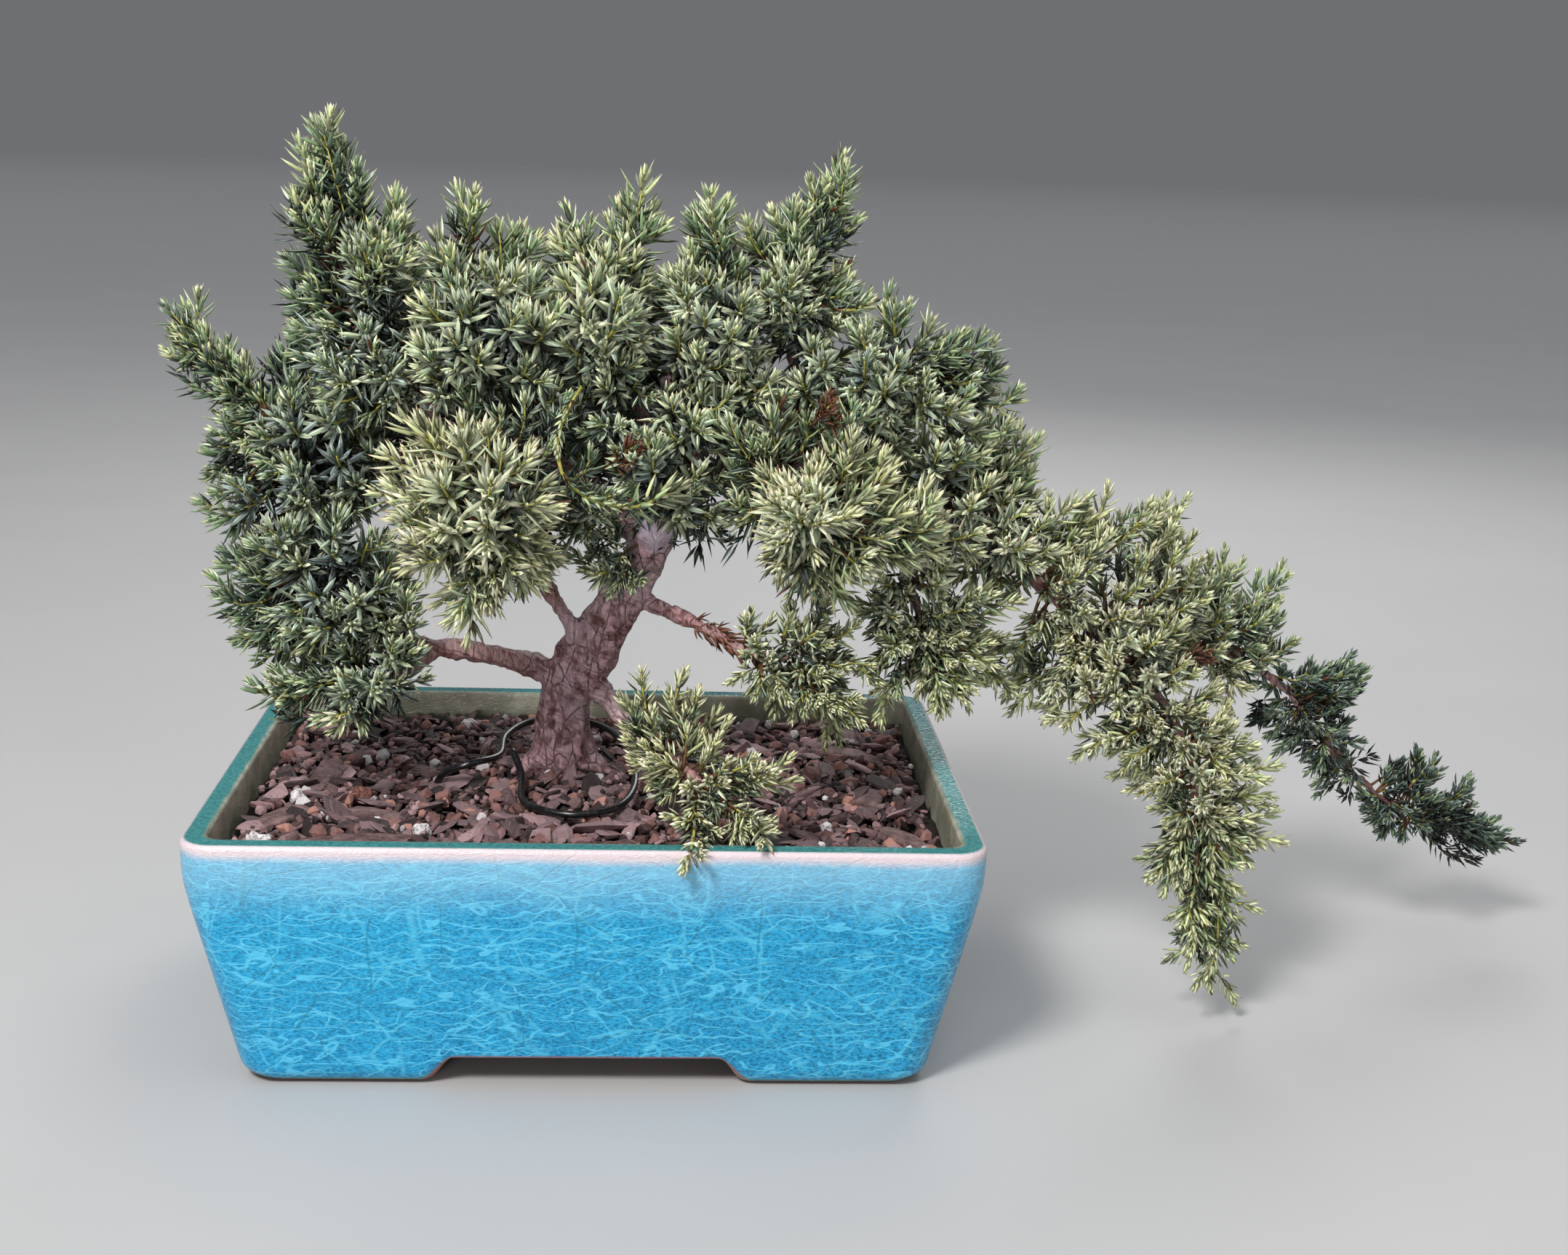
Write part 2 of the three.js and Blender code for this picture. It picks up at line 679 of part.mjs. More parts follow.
// Loose pieces, measured from the pot's middle: [x, y, length, width, thickness, turn in degrees].
const chips = [
  [-60, -50, 34, 12, 3.4, 8],
  [-34, -56, 22, 10, 3, -18],
  [-81, -30, 18, 9, 3, 50],
  [-58, -27, 18, 8, 2.6, -30],
  [2, -52, 24, 10, 3, 6],
  [81, -40, 20, 9, 3, -62],
  [76, -8, 18, 8, 2.6, 75],
  [-76, 10, 20, 8, 2.8, 82],
  [30, 46, 22, 9, 3, 12],
  [72, 34, 22, 9, 3, -35],
];
const perlite = [
  [-84, -50, 8],
  [-80, -14, 6],
  [-44, -40, 6],
  [62, -36, 6],
  [-40, 54, 7],
];
const lava = [
  [-64, -12, 8],
  [-20, -60, 7],
  [34, -36, 8],
  [84, 12, 8],
  [0, 58, 8],
];
const PRESSED_IN = 0.45; // share of a loose piece's height that is bedded in the soil

// A flake of bark: a long uneven hexagon of even thickness.
function flake(length, width, thick) {
  const outline = new THREE.Shape(
    [
      [-0.5, -0.1],
      [-0.3, -0.5],
      [0.22, -0.42],
      [0.5, 0.05],
      [0.28, 0.5],
      [-0.36, 0.36],
    ].map(([u, v]) => new THREE.Vector2(u * length, v * width)),
  );
  return new THREE.ExtrudeGeometry(outline, { depth: thick, bevelEnabled: false }).translate(
    0,
    0,
    -thick / 2,
  );
}

// A shape grown by an extra needs this many times as much on its size, because its pointed ends or
// flat facets lie nearer than its corners.
const FLAKE_ROOM = 4;
const FACET_ROOM = 1.3;
// Each loose piece as its name, finish, place, turn and a maker that takes an extra all round.
const loose = [
  ...chips.map(([x, y, length, width, thick, turn], i) => ({
    name: `bark_chip_${i + 1}`,
    material: CHIP,
    place: [x, y, soilHeight(x, y) + thick * (0.5 - PRESSED_IN)],
    turn: [0, 0, THREE.MathUtils.degToRad(turn)],
    make: (extra) => flake(length + FLAKE_ROOM * extra, width + FLAKE_ROOM * extra, thick + 2 * extra),
  })),
  ...[
    ["perlite_grain", PERLITE, perlite, 0.8],
    ["lava_grain", LAVA, lava, 0.7],
  ].flatMap(([name, material, grains, squat]) =>
    grains.map(([x, y, size], i) => ({
      name: `${name}_${i + 1}`,
      material,
      place: [x, y, soilHeight(x, y) + size * squat * (0.5 - PRESSED_IN)],
      turn: [0.4 + i, 0.7 * i, 1.1 * i],
      make: (extra) =>
        new THREE.IcosahedronGeometry(size / 2 + FACET_ROOM * extra).scale(1, 0.85, squat),
    })),
  ),
];
const TWIG = [
  [17, -8, wireZ(1.2), 1],
  [24, -14, wireZ(0.9), 1.1],
  [33, -17, wireZ(0.7), 1],
  [42, -24, wireZ(0.4), 0.8],
];

// ---------------------------------------------------------------- assembly
const pot = makePot();
const wire = wireSolid(0);
const wireRoom = wireSolid(GAP);
const tree = woodSolid(0);
const treeRoom = woodSolid(GAP);
const twig = solid(limb(TWIG, { rows: 5 }));
const twigRoom = solid(limb(TWIG, { rows: 5, extra: GAP }));

addMesh("pot", geometryOf(pot), GLAZE);
drains.forEach((x, i) =>
  addMesh(
    `drainage_screen_${["left", "right"][i]}`,
    geometryOf(makeScreen(x, wireRoom)),
    SCREEN_PLASTIC,
  ),
);
addMesh("anchor_wire", geometryOf(wire), BLACK_WIRE);

const onSoil = new THREE.Group();
root.add(onSoil);
let soil = makeSoil().subtract(treeRoom).subtract(wireRoom).subtract(twigRoom);
const screenSide = SCREEN_SIDE + 2 * GAP;
for (const x of drains) {
  const room = new THREE.BoxGeometry(screenSide, screenSide, SCREEN_THICK + 4 * GAP);
  soil = soil.subtract(solid(room.translate(x, 0, floorTop + SCREEN_THICK / 2 + GAP)));
}
for (const { name, material, place, turn, make } of loose) {
  const mesh = addMesh(name, make(0), material, onSoil);
  mesh.position.set(...place);
  mesh.rotation.set(...turn);
  mesh.updateMatrix();
  soil = soil.subtract(solid(make(GAP).applyMatrix4(mesh.matrix)));
}
addMesh("dead_twig", geometryOf(twig), DEAD_TWIG, onSoil);
addMesh("soil", geometryOf(largest(soil)), SOIL);

addMesh("trunk", geometryOf(tree), BARK);

// Each pad keeps clear of the wood, the pot, the soil and the pads made before it.
const crown = new THREE.Group();
root.add(crown);
const potRoom = solid(
  stack(
    [0, lipFoot - LIP_BEND / 2, lipFoot + LIP_BEND / 2, POT_HEIGHT + GAP].map((z) => level(z, -GAP)),
  ),
);
let taken = treeRoom.add(potRoom);
for (const [name, pad] of Object.entries(pads)) {
  const made = largest(padSolid(pad, 0).subtract(taken));
  taken = taken.add(padSolid(pad, GAP));
  addMesh(`foliage_${name}`, geometryOf(made), LEAF, crown);
}

// ---------------------------------------------------------------- origin
root.updateMatrixWorld(true);
const box = new THREE.Box3().setFromObject(root, true);
root.position.set(-(box.min.x + box.max.x) / 2, -(box.min.y + box.max.y) / 2, 0);

export default root;
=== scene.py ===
# %% [markdown]
# # A trailing juniper bonsai in a crackle-glazed pot
#
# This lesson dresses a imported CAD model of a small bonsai. The CAD holds every piece's size and
# place. Blender makes what the CAD leaves plain: a glaze with a net of fine lines, a trunk with
# bark, loose bark and grit on the soil, and the tree's needles. The needles are the big job. There
# are tens of thousands of them, so they are worked out with numpy as whole arrays.

import bpy
import numpy as np
from math import cos, pi, radians, sin
from mathutils import Matrix, Vector


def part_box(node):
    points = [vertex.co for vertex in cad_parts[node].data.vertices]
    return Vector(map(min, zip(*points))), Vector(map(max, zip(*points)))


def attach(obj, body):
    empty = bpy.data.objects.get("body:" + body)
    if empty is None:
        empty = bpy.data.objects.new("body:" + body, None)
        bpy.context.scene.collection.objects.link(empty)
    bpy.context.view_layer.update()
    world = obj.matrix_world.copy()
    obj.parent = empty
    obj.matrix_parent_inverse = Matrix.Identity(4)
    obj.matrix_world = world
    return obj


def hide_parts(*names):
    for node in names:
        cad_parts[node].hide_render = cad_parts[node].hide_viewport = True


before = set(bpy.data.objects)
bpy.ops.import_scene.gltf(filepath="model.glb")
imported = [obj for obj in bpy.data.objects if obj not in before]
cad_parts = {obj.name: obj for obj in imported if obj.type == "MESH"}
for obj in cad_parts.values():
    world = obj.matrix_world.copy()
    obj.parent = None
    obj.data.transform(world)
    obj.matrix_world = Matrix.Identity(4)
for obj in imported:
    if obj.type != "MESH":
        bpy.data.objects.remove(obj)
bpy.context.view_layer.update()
MM = 0.001
pot_low, pot_high = (np.array(corner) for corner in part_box("pot"))
pot_middle = (pot_low + pot_high) / 2 * [1, 1, 0]
pads = sorted(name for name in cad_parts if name.startswith("foliage_"))
print("pot", (pot_high - pot_low) / MM, "mm, with", len(pads), "pads of foliage")


def in_scene(name, data):
    """A new object that holds this data, linked to the scene."""
    made = bpy.data.objects.new(name, data)
    bpy.context.scene.collection.objects.link(made)
    return made


# %% [markdown]
# ## The camera
#
# The camera looks down at the pot by about fourteen degrees from a little left of its middle, and
# it leans by two degrees, as a camera held by hand does. Its place is measured from the middle of
# the pot's foot. The three directions are built from the angles, and a matrix holds them.

# %% Place the camera
CAMERA_PLACE = np.array([14.6, -564.9, 243.8]) * MM + pot_middle
PITCH, YAW, ROLL = radians(13.59), radians(3.71), radians(1.91)
LENS, SENSOR = 48.44, 36.0


def camera_matrix(place, pitch, yaw, roll):
    """Columns are the camera's right, up and back, and its place."""
    forward = Vector((sin(yaw) * cos(pitch), cos(yaw) * cos(pitch), -sin(pitch)))
    level = Vector((cos(yaw), -sin(yaw), 0))
    upright = level.cross(forward)
    right = cos(roll) * level + sin(roll) * upright
    up = cos(roll) * upright - sin(roll) * level
    turned = Matrix((right, up, -forward)).transposed().to_4x4()
    return Matrix.Translation(place) @ turned


camera_data = bpy.data.cameras.new("camera")
camera_data.lens, camera_data.sensor_width = LENS, SENSOR
camera = in_scene("camera", camera_data)
camera.matrix_world = camera_matrix(CAMERA_PLACE, PITCH, YAW, ROLL)
bpy.context.scene.camera = camera
print("camera at", CAMERA_PLACE / MM, "mm")

# %% [markdown]
# ## Shader maths as Python
#
# A material here is mostly arithmetic: masks, mixes and noises. The class below wraps a node's
# output socket, so that `1 - mask * 0.5` adds the Math nodes by itself. Colours and vectors go
# through Mix and Vector Math nodes, because a Math node would turn them grey.


# %% Wrap the sockets
class Wire:
    """An output socket with operators. Each one adds a Math node to the same tree."""

    def __init__(self, shader, socket):
        self.shader, self.socket = shader, socket

    def math(self, operation, *others):
        return self.shader.node("ShaderNodeMath", {"operation": operation}, [self, *others])

    def __add__(self, other):
        return self.math("ADD", other)

    def __sub__(self, other):
        return self.math("SUBTRACT", other)

    def __rsub__(self, other):
        return self.shader.node("ShaderNodeMath", {"operation": "SUBTRACT"}, [other, self])

    def __mul__(self, other):
        return self.math("MULTIPLY", other)

    def __truediv__(self, other):
        return self.math("DIVIDE", other)

    __radd__, __rmul__ = __add__, __mul__

    def below(self, other):
        return self.math("LESS_THAN", other)

    def step(self, low, high):
        """Smoothly from 0 where this is low to 1 where it is high."""
        settings = {"interpolation_type": "SMOOTHSTEP"}
        return self.shader.node("ShaderNodeMapRange", settings, {0: self, 1: low, 2: high})


class Shader:
    """One material: its node tree, and the few kinds of node that this lesson uses."""

    def __init__(self, name, **plain):
        self.material = bpy.data.materials.new(name)
        self.material.use_nodes = True
        self.tree = self.material.node_tree
        self.surface = self.tree.nodes["Principled BSDF"]
        for socket, value in plain.items():
            self.surface.inputs[socket.replace("_", " ")].default_value = value

    def fill(self, node, key, value):
        if isinstance(value, Wire):
            self.tree.links.new(value.socket, node.inputs[key])
        elif isinstance(value, tuple) and node.inputs[key].type == "RGBA":
            node.inputs[key].default_value = (*value[:3], 1)
        else:
            node.inputs[key].default_value = value

    def node(self, kind, settings=None, values=(), output=0):
        made = self.tree.nodes.new(kind)
        for key, value in (settings or {}).items():
            setattr(made, key, value)
        pairs = values.items() if isinstance(values, dict) else enumerate(values)
        for key, value in pairs:
            self.fill(made, key, value)
        return Wire(self, made.outputs[output])

    def mapped(self, place, scale=(1, 1, 1), turn=(0, 0, 0), move=(0, 0, 0)):
        """A place scaled, then turned, then moved."""
        return self.node("ShaderNodeMapping", {"vector_type": "POINT"}, {
            "Vector": place, "Scale": scale, "Rotation": turn, "Location": move})

    def place(self, size=MM):
        """Object coordinates about the pot's middle, in millimetres unless told otherwise."""
        source = self.node("ShaderNodeTexCoord", output="Object")
        return self.mapped(self.mapped(source, move=tuple(-pot_middle)), (1 / size,) * 3)

    def noise(self, place, scale, detail=3.0, rough=0.55, twist=0.0, colour=False):
        return self.node("ShaderNodeTexNoise", {}, {
            "Vector": place, "Scale": scale, "Detail": detail, "Roughness": rough,
            "Distortion": twist}, output="Color" if colour else 0)

    def cells(self, place, scale, feature="F1"):
        return self.node("ShaderNodeTexVoronoi", {"feature": feature}, {
            "Vector": place, "Scale": scale}, output="Distance")

    def shift(self, place, by, amount):
        """A place pushed about by a noise colour, whose middle value is a half."""
        moved = self.node("ShaderNodeVectorMath", {"operation": "MULTIPLY_ADD"}, {
            0: by, 1: (amount,) * 3, 2: (-amount / 2,) * 3})
        return self.node("ShaderNodeVectorMath", {"operation": "ADD"}, {0: place, 1: moved})

    def mix(self, share, first, second, blend="MIX"):
        made = self.tree.nodes.new("ShaderNodeMix")
        made.data_type, made.blend_type = "RGBA", blend
        self.fill(made, 0, share)
        self.fill(made, 6, first)
        self.fill(made, 7, second)
        return Wire(self, made.outputs[2])

    def layers(self, colour, *coats):
        """Paints coats over a colour in turn. Each coat is its share and its colour."""
        for share, coat in coats:
            colour = self.mix(share, colour, coat)
        return colour

    def split(self, vector):
        made = self.tree.nodes.new("ShaderNodeSeparateXYZ")
        self.fill(made, 0, vector)
        return [Wire(self, out) for out in made.outputs]

    def ramp(self, value, stops):
        made = self.tree.nodes.new("ShaderNodeValToRGB")
        while len(made.color_ramp.elements) < len(stops):
            made.color_ramp.elements.new(0.5)
        for element, (at, colour) in zip(made.color_ramp.elements, stops):
            element.position, element.color = at, (*colour, 1)
        self.fill(made, 0, value)
        return Wire(self, made.outputs[0])

    def bump(self, height, distance, strength=1.0, under=None):
        values = {"Height": height, "Distance": distance, "Strength": strength}
        if under is not None:
            values["Normal"] = under
        return self.node("ShaderNodeBump", {}, values)

    def finish(self, **sockets):
        for socket, value in sockets.items():
            self.fill(self.surface, socket.replace("_", " "), value)
        return self.material


# %% [markdown]
# ## Surfaces on a grid
#
# Every new shape is a grid of points, worked out for all rows and columns at once. A tube closes
# round its columns, and its two ends are closed with a point. `build` hands such an array to
# Blender in one call, which is far faster than adding points one by one.


# %% Make meshes from arrays
def build(name, points, faces, material, replaced=(), uv=None, smooth=True):
    """A piece from points in millimetres about the pot's middle and faces of one kind. It rides
    on the one body, and stands for these CAD nodes."""
    mesh = bpy.data.meshes.new(name)
    count, sides = faces.shape
    mesh.vertices.add(len(points))
    places = points * MM + pot_middle
    mesh.vertices.foreach_set("co", np.ascontiguousarray(places, np.float32).ravel())
    mesh.loops.add(count * sides)
    mesh.loops.foreach_set("vertex_index", faces.astype(np.int32).ravel())
    mesh.polygons.add(count)
    mesh.polygons.foreach_set("loop_start", np.arange(count, dtype=np.int32) * sides)
    mesh.polygons.foreach_set("use_smooth", np.full(count, smooth))
    if uv is not None:
        layer = mesh.uv_layers.new(name="OFBake")
        layer.data.foreach_set("uv", np.ascontiguousarray(uv, np.float32).ravel())
    mesh.update()
    mesh.validate()
    mesh.materials.append(material)
    piece = in_scene(name, mesh)
    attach(piece, "root")
    if replaced:
        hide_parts(*replaced)


def grid_faces(rows, columns, close_rows=False):
    """Four-sided faces of a grid whose columns, and rows if asked, join up with the first."""
    row = np.arange(rows if close_rows else rows - 1)[:, None]
    column = np.arange(columns)[None, :]
    next_row, next_column = (row + 1) % rows, (column + 1) % columns
    corners = [row * columns + column, row * columns + next_column,
               next_row * columns + next_column, next_row * columns + column]
    return np.stack(np.broadcast_arrays(*corners), -1).reshape(-1, 4)


def halves(quads):
    """Two triangles for each four-sided face: all the first halves, then all the second."""
    return np.concatenate([quads[:, [0, 1, 2]], quads[:, [0, 2, 3]]])


def unit(vectors):
    return vectors / np.maximum(np.linalg.norm(vectors, axis=-1, keepdims=True), 1e-12)


def value_noise(points, size, seed=0):
    """Smooth noise from -1 to 1: random numbers at the corners of a lattice whose cells measure
    `size`, blended with the curve 3t^2 - 2t^3 between them."""
    scaled = np.asarray(points) / size + seed * 17.31
    cell = np.floor(scaled).astype(np.int64)
    part = scaled - cell
    part = part * part * (3 - 2 * part)
    total = 0
    for corner in np.ndindex(2, 2, 2):
        key = (cell + corner) @ np.array([73856093, 19349663, 83492791])
        key = (key ^ (key >> 13)) * 1274126177 % 2147483647
        weight = np.prod(np.where(corner, part, 1 - part), axis=-1)
        total = total + weight * (key % 65536 / 32767.5 - 1)
    return total


def fractal(points, size, octaves=3, seed=0):
    """Value noise at `size`, plus half of it at half the size, and so on."""
    return sum(value_noise(points, size / 2**k, seed + k) / 2**k for k in range(octaves))


def around(aside, square, turn):
    """Directions at each angle round a line, from two directions that stand square to it."""
    return aside * np.cos(turn)[..., None] + square * np.sin(turn)[..., None]


def tube(path, radii, sides):
    """Points of a tube: a circle of each radius stands square to the path at each point."""
    along = unit(np.gradient(path, axis=0))
    across = [unit(np.cross(along[0], [0.31, 0.17, 0.93]))]
    for direction in along[1:]:
        across.append(unit(across[-1] - direction * (across[-1] @ direction)))
    across = np.array(across)
    square = np.cross(along, across)
    turn = np.linspace(0, 2 * pi, sides, endpoint=False)
    ring = around(across[:, None], square[:, None], turn)
    return path[:, None] + ring * np.asarray(radii)[:, None, None]


def smooth_path(points, count):
    """A Catmull-Rom curve through the points, at `count` even steps of its parameter."""
    points = np.asarray(points, float)
    padded = np.vstack([2 * points[0] - points[1], points, 2 * points[-1] - points[-2]])
    t = np.linspace(0, len(points) - 1 - 1e-9, count)
    i, f = np.floor(t).astype(int), (t % 1)[:, None]
    a, b, c, d = (padded[i + k] for k in range(4))
    return (b * 2 + (c - a) * f + (2 * a - 5 * b + 4 * c - d) * f**2
            + (3 * b - 3 * c + d - a) * f**3) / 2


# %% [markdown]
# ## The floor and the light
#
# The pot stands on a plain pale floor under soft studio light. Large area lamps give soft shadows.
# The key lamp is high at the front left, and a small one below it reaches under the crown. A wide
# one on the right fills the shadows, and one behind draws a thin bright edge round the leaves. A
# very large one overhead lights the floor evenly. Far out the floor turns paler, so that it meets
# the background softly.


# %% Light the studio
def area_lamp(name, place, watts, size, tint):
    """A square lamp at a place about the pot, turned to face the middle of the tree."""
    data = bpy.data.lights.new(name, "AREA")
    data.energy, data.size, data.color = watts, size, tint
    lamp = in_scene(name, data)
    lamp.location = Vector(place) + Vector(pot_middle)
    target = Vector(pot_middle) + Vector((0.05, 0, 0.1))
    lamp.rotation_euler = (target - lamp.location).to_track_quat("-Z", "Y").to_euler()


area_lamp("key", (-0.42, -0.85, 1.0), 17.5, 0.28, (1.0, 0.985, 0.96))
area_lamp("front", (-0.30, -1.10, 0.22), 2.8, 0.22, (1.0, 0.98, 0.97))
area_lamp("fill", (0.95, -0.7, 0.45), 2.2, 0.9, (0.93, 0.96, 1.0))
area_lamp("edge", (0.35, 0.9, 0.75), 4.0, 0.5, (1.0, 0.99, 0.97))
area_lamp("ceiling", (0, 0.6, 3.4), 75.0, 5.5, (0.98, 0.99, 1.0))

world = bpy.data.worlds.new("studio")
world.use_nodes = True
sky = world.node_tree.nodes["Background"].inputs
sky["Color"].default_value, sky["Strength"].default_value = (0.78, 0.8, 0.84, 1), 0.20
bpy.context.scene.world = world
bpy.context.scene.view_settings.view_transform = "Standard"

floor_shader = Shader("pale_floor", Roughness=0.75)
floor_tone = floor_shader.noise(floor_shader.place(1.0), 9.0, 4.0)
floor_x, floor_y, _ = floor_shader.split(floor_shader.place(1.0))
far_off = (floor_x * floor_x + floor_y * floor_y).math("SQRT").step(2.0, 7.0)
floor_material = floor_shader.finish(Base_Color=floor_shader.mix(
    far_off, floor_shader.mix(floor_tone, (0.42, 0.42, 0.425), (0.46, 0.46, 0.46)), (0.97,) * 3))
FLOOR_SIDES, FLOOR_GAP = 96, 0.0003
ring_sizes = np.array([0.0001, 0.5, 1.5, 4.0, 9.0])
turns = np.linspace(0, 2 * pi, FLOOR_SIDES, endpoint=False)
floor_points = np.stack(np.broadcast_arrays(
    ring_sizes[:, None] * np.cos(turns), ring_sizes[:, None] * np.sin(turns), -FLOOR_GAP), -1)
floor_mesh = bpy.data.meshes.new("floor")
floor_mesh.from_pydata((floor_points.reshape(-1, 3) + pot_middle).tolist(), [],
                       grid_faces(len(ring_sizes), FLOOR_SIDES).tolist())
floor_mesh.materials.append(floor_material)
floor = in_scene("floor", floor_mesh)
print("five lamps and a floor", 2 * ring_sizes[-1], "m across")

# %% [markdown]
# ## The pot's shape
#
# The pot was pressed in a mould: a rounded rectangle whose wall leans out to the top, where the
# last ten millimetres stand upright. Four feet are left where the skirt is cut into low arches.
# One surface makes all of it. Its first parameter runs round the outline, and its second runs
# up the outside, over the rim, down the inside and back under the skirt.

# %% Carry the wall round the outline
POT_LENGTH, POT_DEPTH, POT_HEIGHT = 200, 150, 68
SLOPE, LIP_BEND, BEND_HEIGHT = 0.204, 8, 58
CORNER, INNER_CORNER, RIM_WALL, FOOT_WALL = 9, 5, 6.5, 13
FLOOR_TOP, FLOOR_UNDER = 16, 10
ARCH_HEIGHT, FRONT_ARCH, SIDE_ARCH, ARCH_CURVE = 8, 43.2, 28.2, 10
RIM_ROUND, FOOT_ROUND, ARCH_ROUND = 1.3, 5, 1.6


def lean(z):
    """How far the wall is set in at a height: a straight slope that bends softly upright."""
    below_bend = BEND_HEIGHT - z
    return SLOPE / 2 * (below_bend + np.sqrt(below_bend**2 + LIP_BEND**2 / 4))


def outline(side_steps=150, end_steps=110, corner_steps=12):
    """Round the rectangle: which side share (-1 to 1 each way) and which way the wall faces."""
    long, short = np.linspace(-1, 1, side_steps), np.linspace(-1, 1, end_steps)
    shares, angles = [], []
    for along, fixed, facing in ((long, -1, -90), (short, 1, 0), (-long, 1, 90), (-short, -1, 180)):
        across = np.full(len(along), float(fixed))
        pair = (along, across) if facing in (-90, 90) else (across, along)
        shares.append(np.stack(pair, -1))
        angles.append(np.full(len(along), float(facing)))
        shares.append(np.repeat(shares[-1][-1:], corner_steps, 0))
        angles.append(facing + np.linspace(0, 90, corner_steps + 2)[1:-1])
    return np.vstack(shares), np.radians(np.hstack(angles))


def arch(distance, half_opening):
    """The wall's lowest height: 0 at the feet, ARCH_HEIGHT in the arch, an S-curve between."""
    share = np.clip((half_opening - distance) / ARCH_CURVE, 0, 1)
    return ARCH_HEIGHT * share * share * (3 - 2 * share)


def rounded(shares, facing, inset, corner):
    """The outline's x and y, set in from the pot's size, with corners of this radius."""
    return np.stack([
        shares[:, 0] * (POT_LENGTH / 2 - inset - corner) + corner * np.cos(facing),
        shares[:, 1] * (POT_DEPTH / 2 - inset - corner) + corner * np.sin(facing)], -1)


shares, facing = outline()
foot_x, foot_y = rounded(shares, facing, lean(0), CORNER).T
on_front = np.abs(shares[:, 1]) == 1
bottom = np.where(on_front & (np.abs(np.sin(facing)) > 0.99), arch(np.abs(foot_x), FRONT_ARCH), 0)
bottom = np.where(np.abs(np.cos(facing)) > 0.99, arch(np.abs(foot_y), SIDE_ARCH), bottom)
edge_round = FOOT_ROUND + (ARCH_ROUND - FOOT_ROUND) * bottom / ARCH_HEIGHT


def wall_rows():
    """Height, set-in and corner radius of each row, as arrays over the outline's columns."""
    quarter = np.radians(np.linspace(0, 90, 8))[:, None]
    low_z = bottom + edge_round * (1 - np.cos(quarter))
    low_in = lean(low_z) + 0.8 * edge_round * (1 - np.sin(quarter))
    start = low_z[-1]
    side_z = start + (POT_HEIGHT - RIM_ROUND - start) * np.linspace(0, 1, 46)[1:, None]
    over_z = POT_HEIGHT - RIM_ROUND * (1 - np.sin(quarter[1:]))
    over_in = lean(POT_HEIGHT) + RIM_ROUND * (1 - np.cos(quarter[1:]))
    top_in = np.linspace(RIM_ROUND, RIM_WALL - RIM_ROUND, 6)[1:, None]
    top_z = np.full_like(top_in, POT_HEIGHT)
    back_z = POT_HEIGHT - RIM_ROUND * (1 - np.cos(quarter[1:]))
    back_in = RIM_WALL - RIM_ROUND * (1 - np.sin(quarter[1:]))
    inner_z = np.linspace(POT_HEIGHT - RIM_ROUND, FLOOR_TOP, 22)[1:, None]
    under_z = np.linspace(FLOOR_UNDER, 0, 4)[:, None]
    under_z = np.minimum(bottom + under_z * (FLOOR_UNDER - bottom) / FLOOR_UNDER, FLOOR_UNDER)
    outside = [(low_z, low_in), (side_z, lean(side_z)), (over_z, over_in)]
    inside = [(back_z, back_in), (inner_z, lean(inner_z) + RIM_WALL),
              (under_z, np.full_like(under_z, lean(0) + FOOT_WALL))]
    full = np.ones((1, len(shares)))
    z, inset = (np.vstack([row * full for row in rows])
                for rows in zip(*outside, (top_z, top_in), *inside))
    outer, top = sum(len(rows) for rows, _ in outside), len(top_in)
    corner = np.full((len(z), 1), float(INNER_CORNER))
    corner[:outer] = CORNER
    corner[outer:outer + top, 0] = np.linspace(CORNER, INNER_CORNER, top + 2)[1:-1]
    return z, inset, corner


row_z, row_in, row_corner = wall_rows()
wall = np.dstack([rounded(shares, facing, row_in, row_corner), row_z])
wall_faces = grid_faces(len(wall), len(shares), close_rows=True)
print("wall", wall.shape[:2], "points, lowest", wall[..., 2].min(), "highest", wall[..., 2].max())

# %% [markdown]
# Hands and a mould leave the wall very slightly uneven, and a glossy glaze shows it. So the outer
# wall swells in and out by a few hundredths of a millimetre, in long soft patches. The floor is a
# slab between the walls, with two round drain holes. Each half is a ring that runs from its hole
# out to a rectangle.


# %% Wave the wall, and add the floor with its drain holes
HOLE, HOLE_SPREAD, HOLE_ROUND, FLOOR_INSET = 8.0, 45.0, 1.2, 14


def floor_half(side, steps=96):
    """Half of the floor: rows go round the section, from the hole's edge to the rectangle's."""
    half_x, half_y = POT_LENGTH / 2 - FLOOR_INSET, POT_DEPTH / 2 - FLOOR_INSET
    turn = np.linspace(0, 2 * pi, steps, endpoint=False)
    aim = np.stack([np.cos(turn), np.sin(turn)], -1)
    centre = np.array([side * HOLE_SPREAD, 0])
    lowest = np.array([-0.1 if side > 0 else -half_x, -half_y]) - centre
    highest = np.array([half_x if side > 0 else 0.1, half_y]) - centre
    reach = np.where(aim > 0, highest, lowest) / np.where(np.abs(aim) < 1e-9, 1e-9, aim)
    reach = np.abs(reach).min(1)
    bend = np.radians(np.linspace(0, 90, 5))
    radius = [reach * share + HOLE * (1 - share) for share in (1, 0.4)]
    inner = [np.full(steps, HOLE + HOLE_ROUND * (1 - sin(b))) for b in bend]
    heights = [FLOOR_UNDER] * 2 + [FLOOR_UNDER + HOLE_ROUND * (1 - cos(b)) for b in bend]
    radius = radius + inner + [np.full(steps, HOLE), reach]
    heights = heights + [FLOOR_TOP, FLOOR_TOP]
    flat = centre + np.array(radius)[..., None] * aim
    return np.concatenate([flat, np.array(heights)[:, None, None] * np.ones((1, steps, 1))], -1)


def facing_out(points, faces):
    """Turns all faces round if the volume they enclose comes out negative."""
    a, b, c, d = (points[faces[:, k]] for k in range(4))
    volume = np.einsum("ij,ij->", a, np.cross(b, c)) + np.einsum("ij,ij->", a, np.cross(c, d))
    return faces if volume > 0 else faces[:, ::-1]


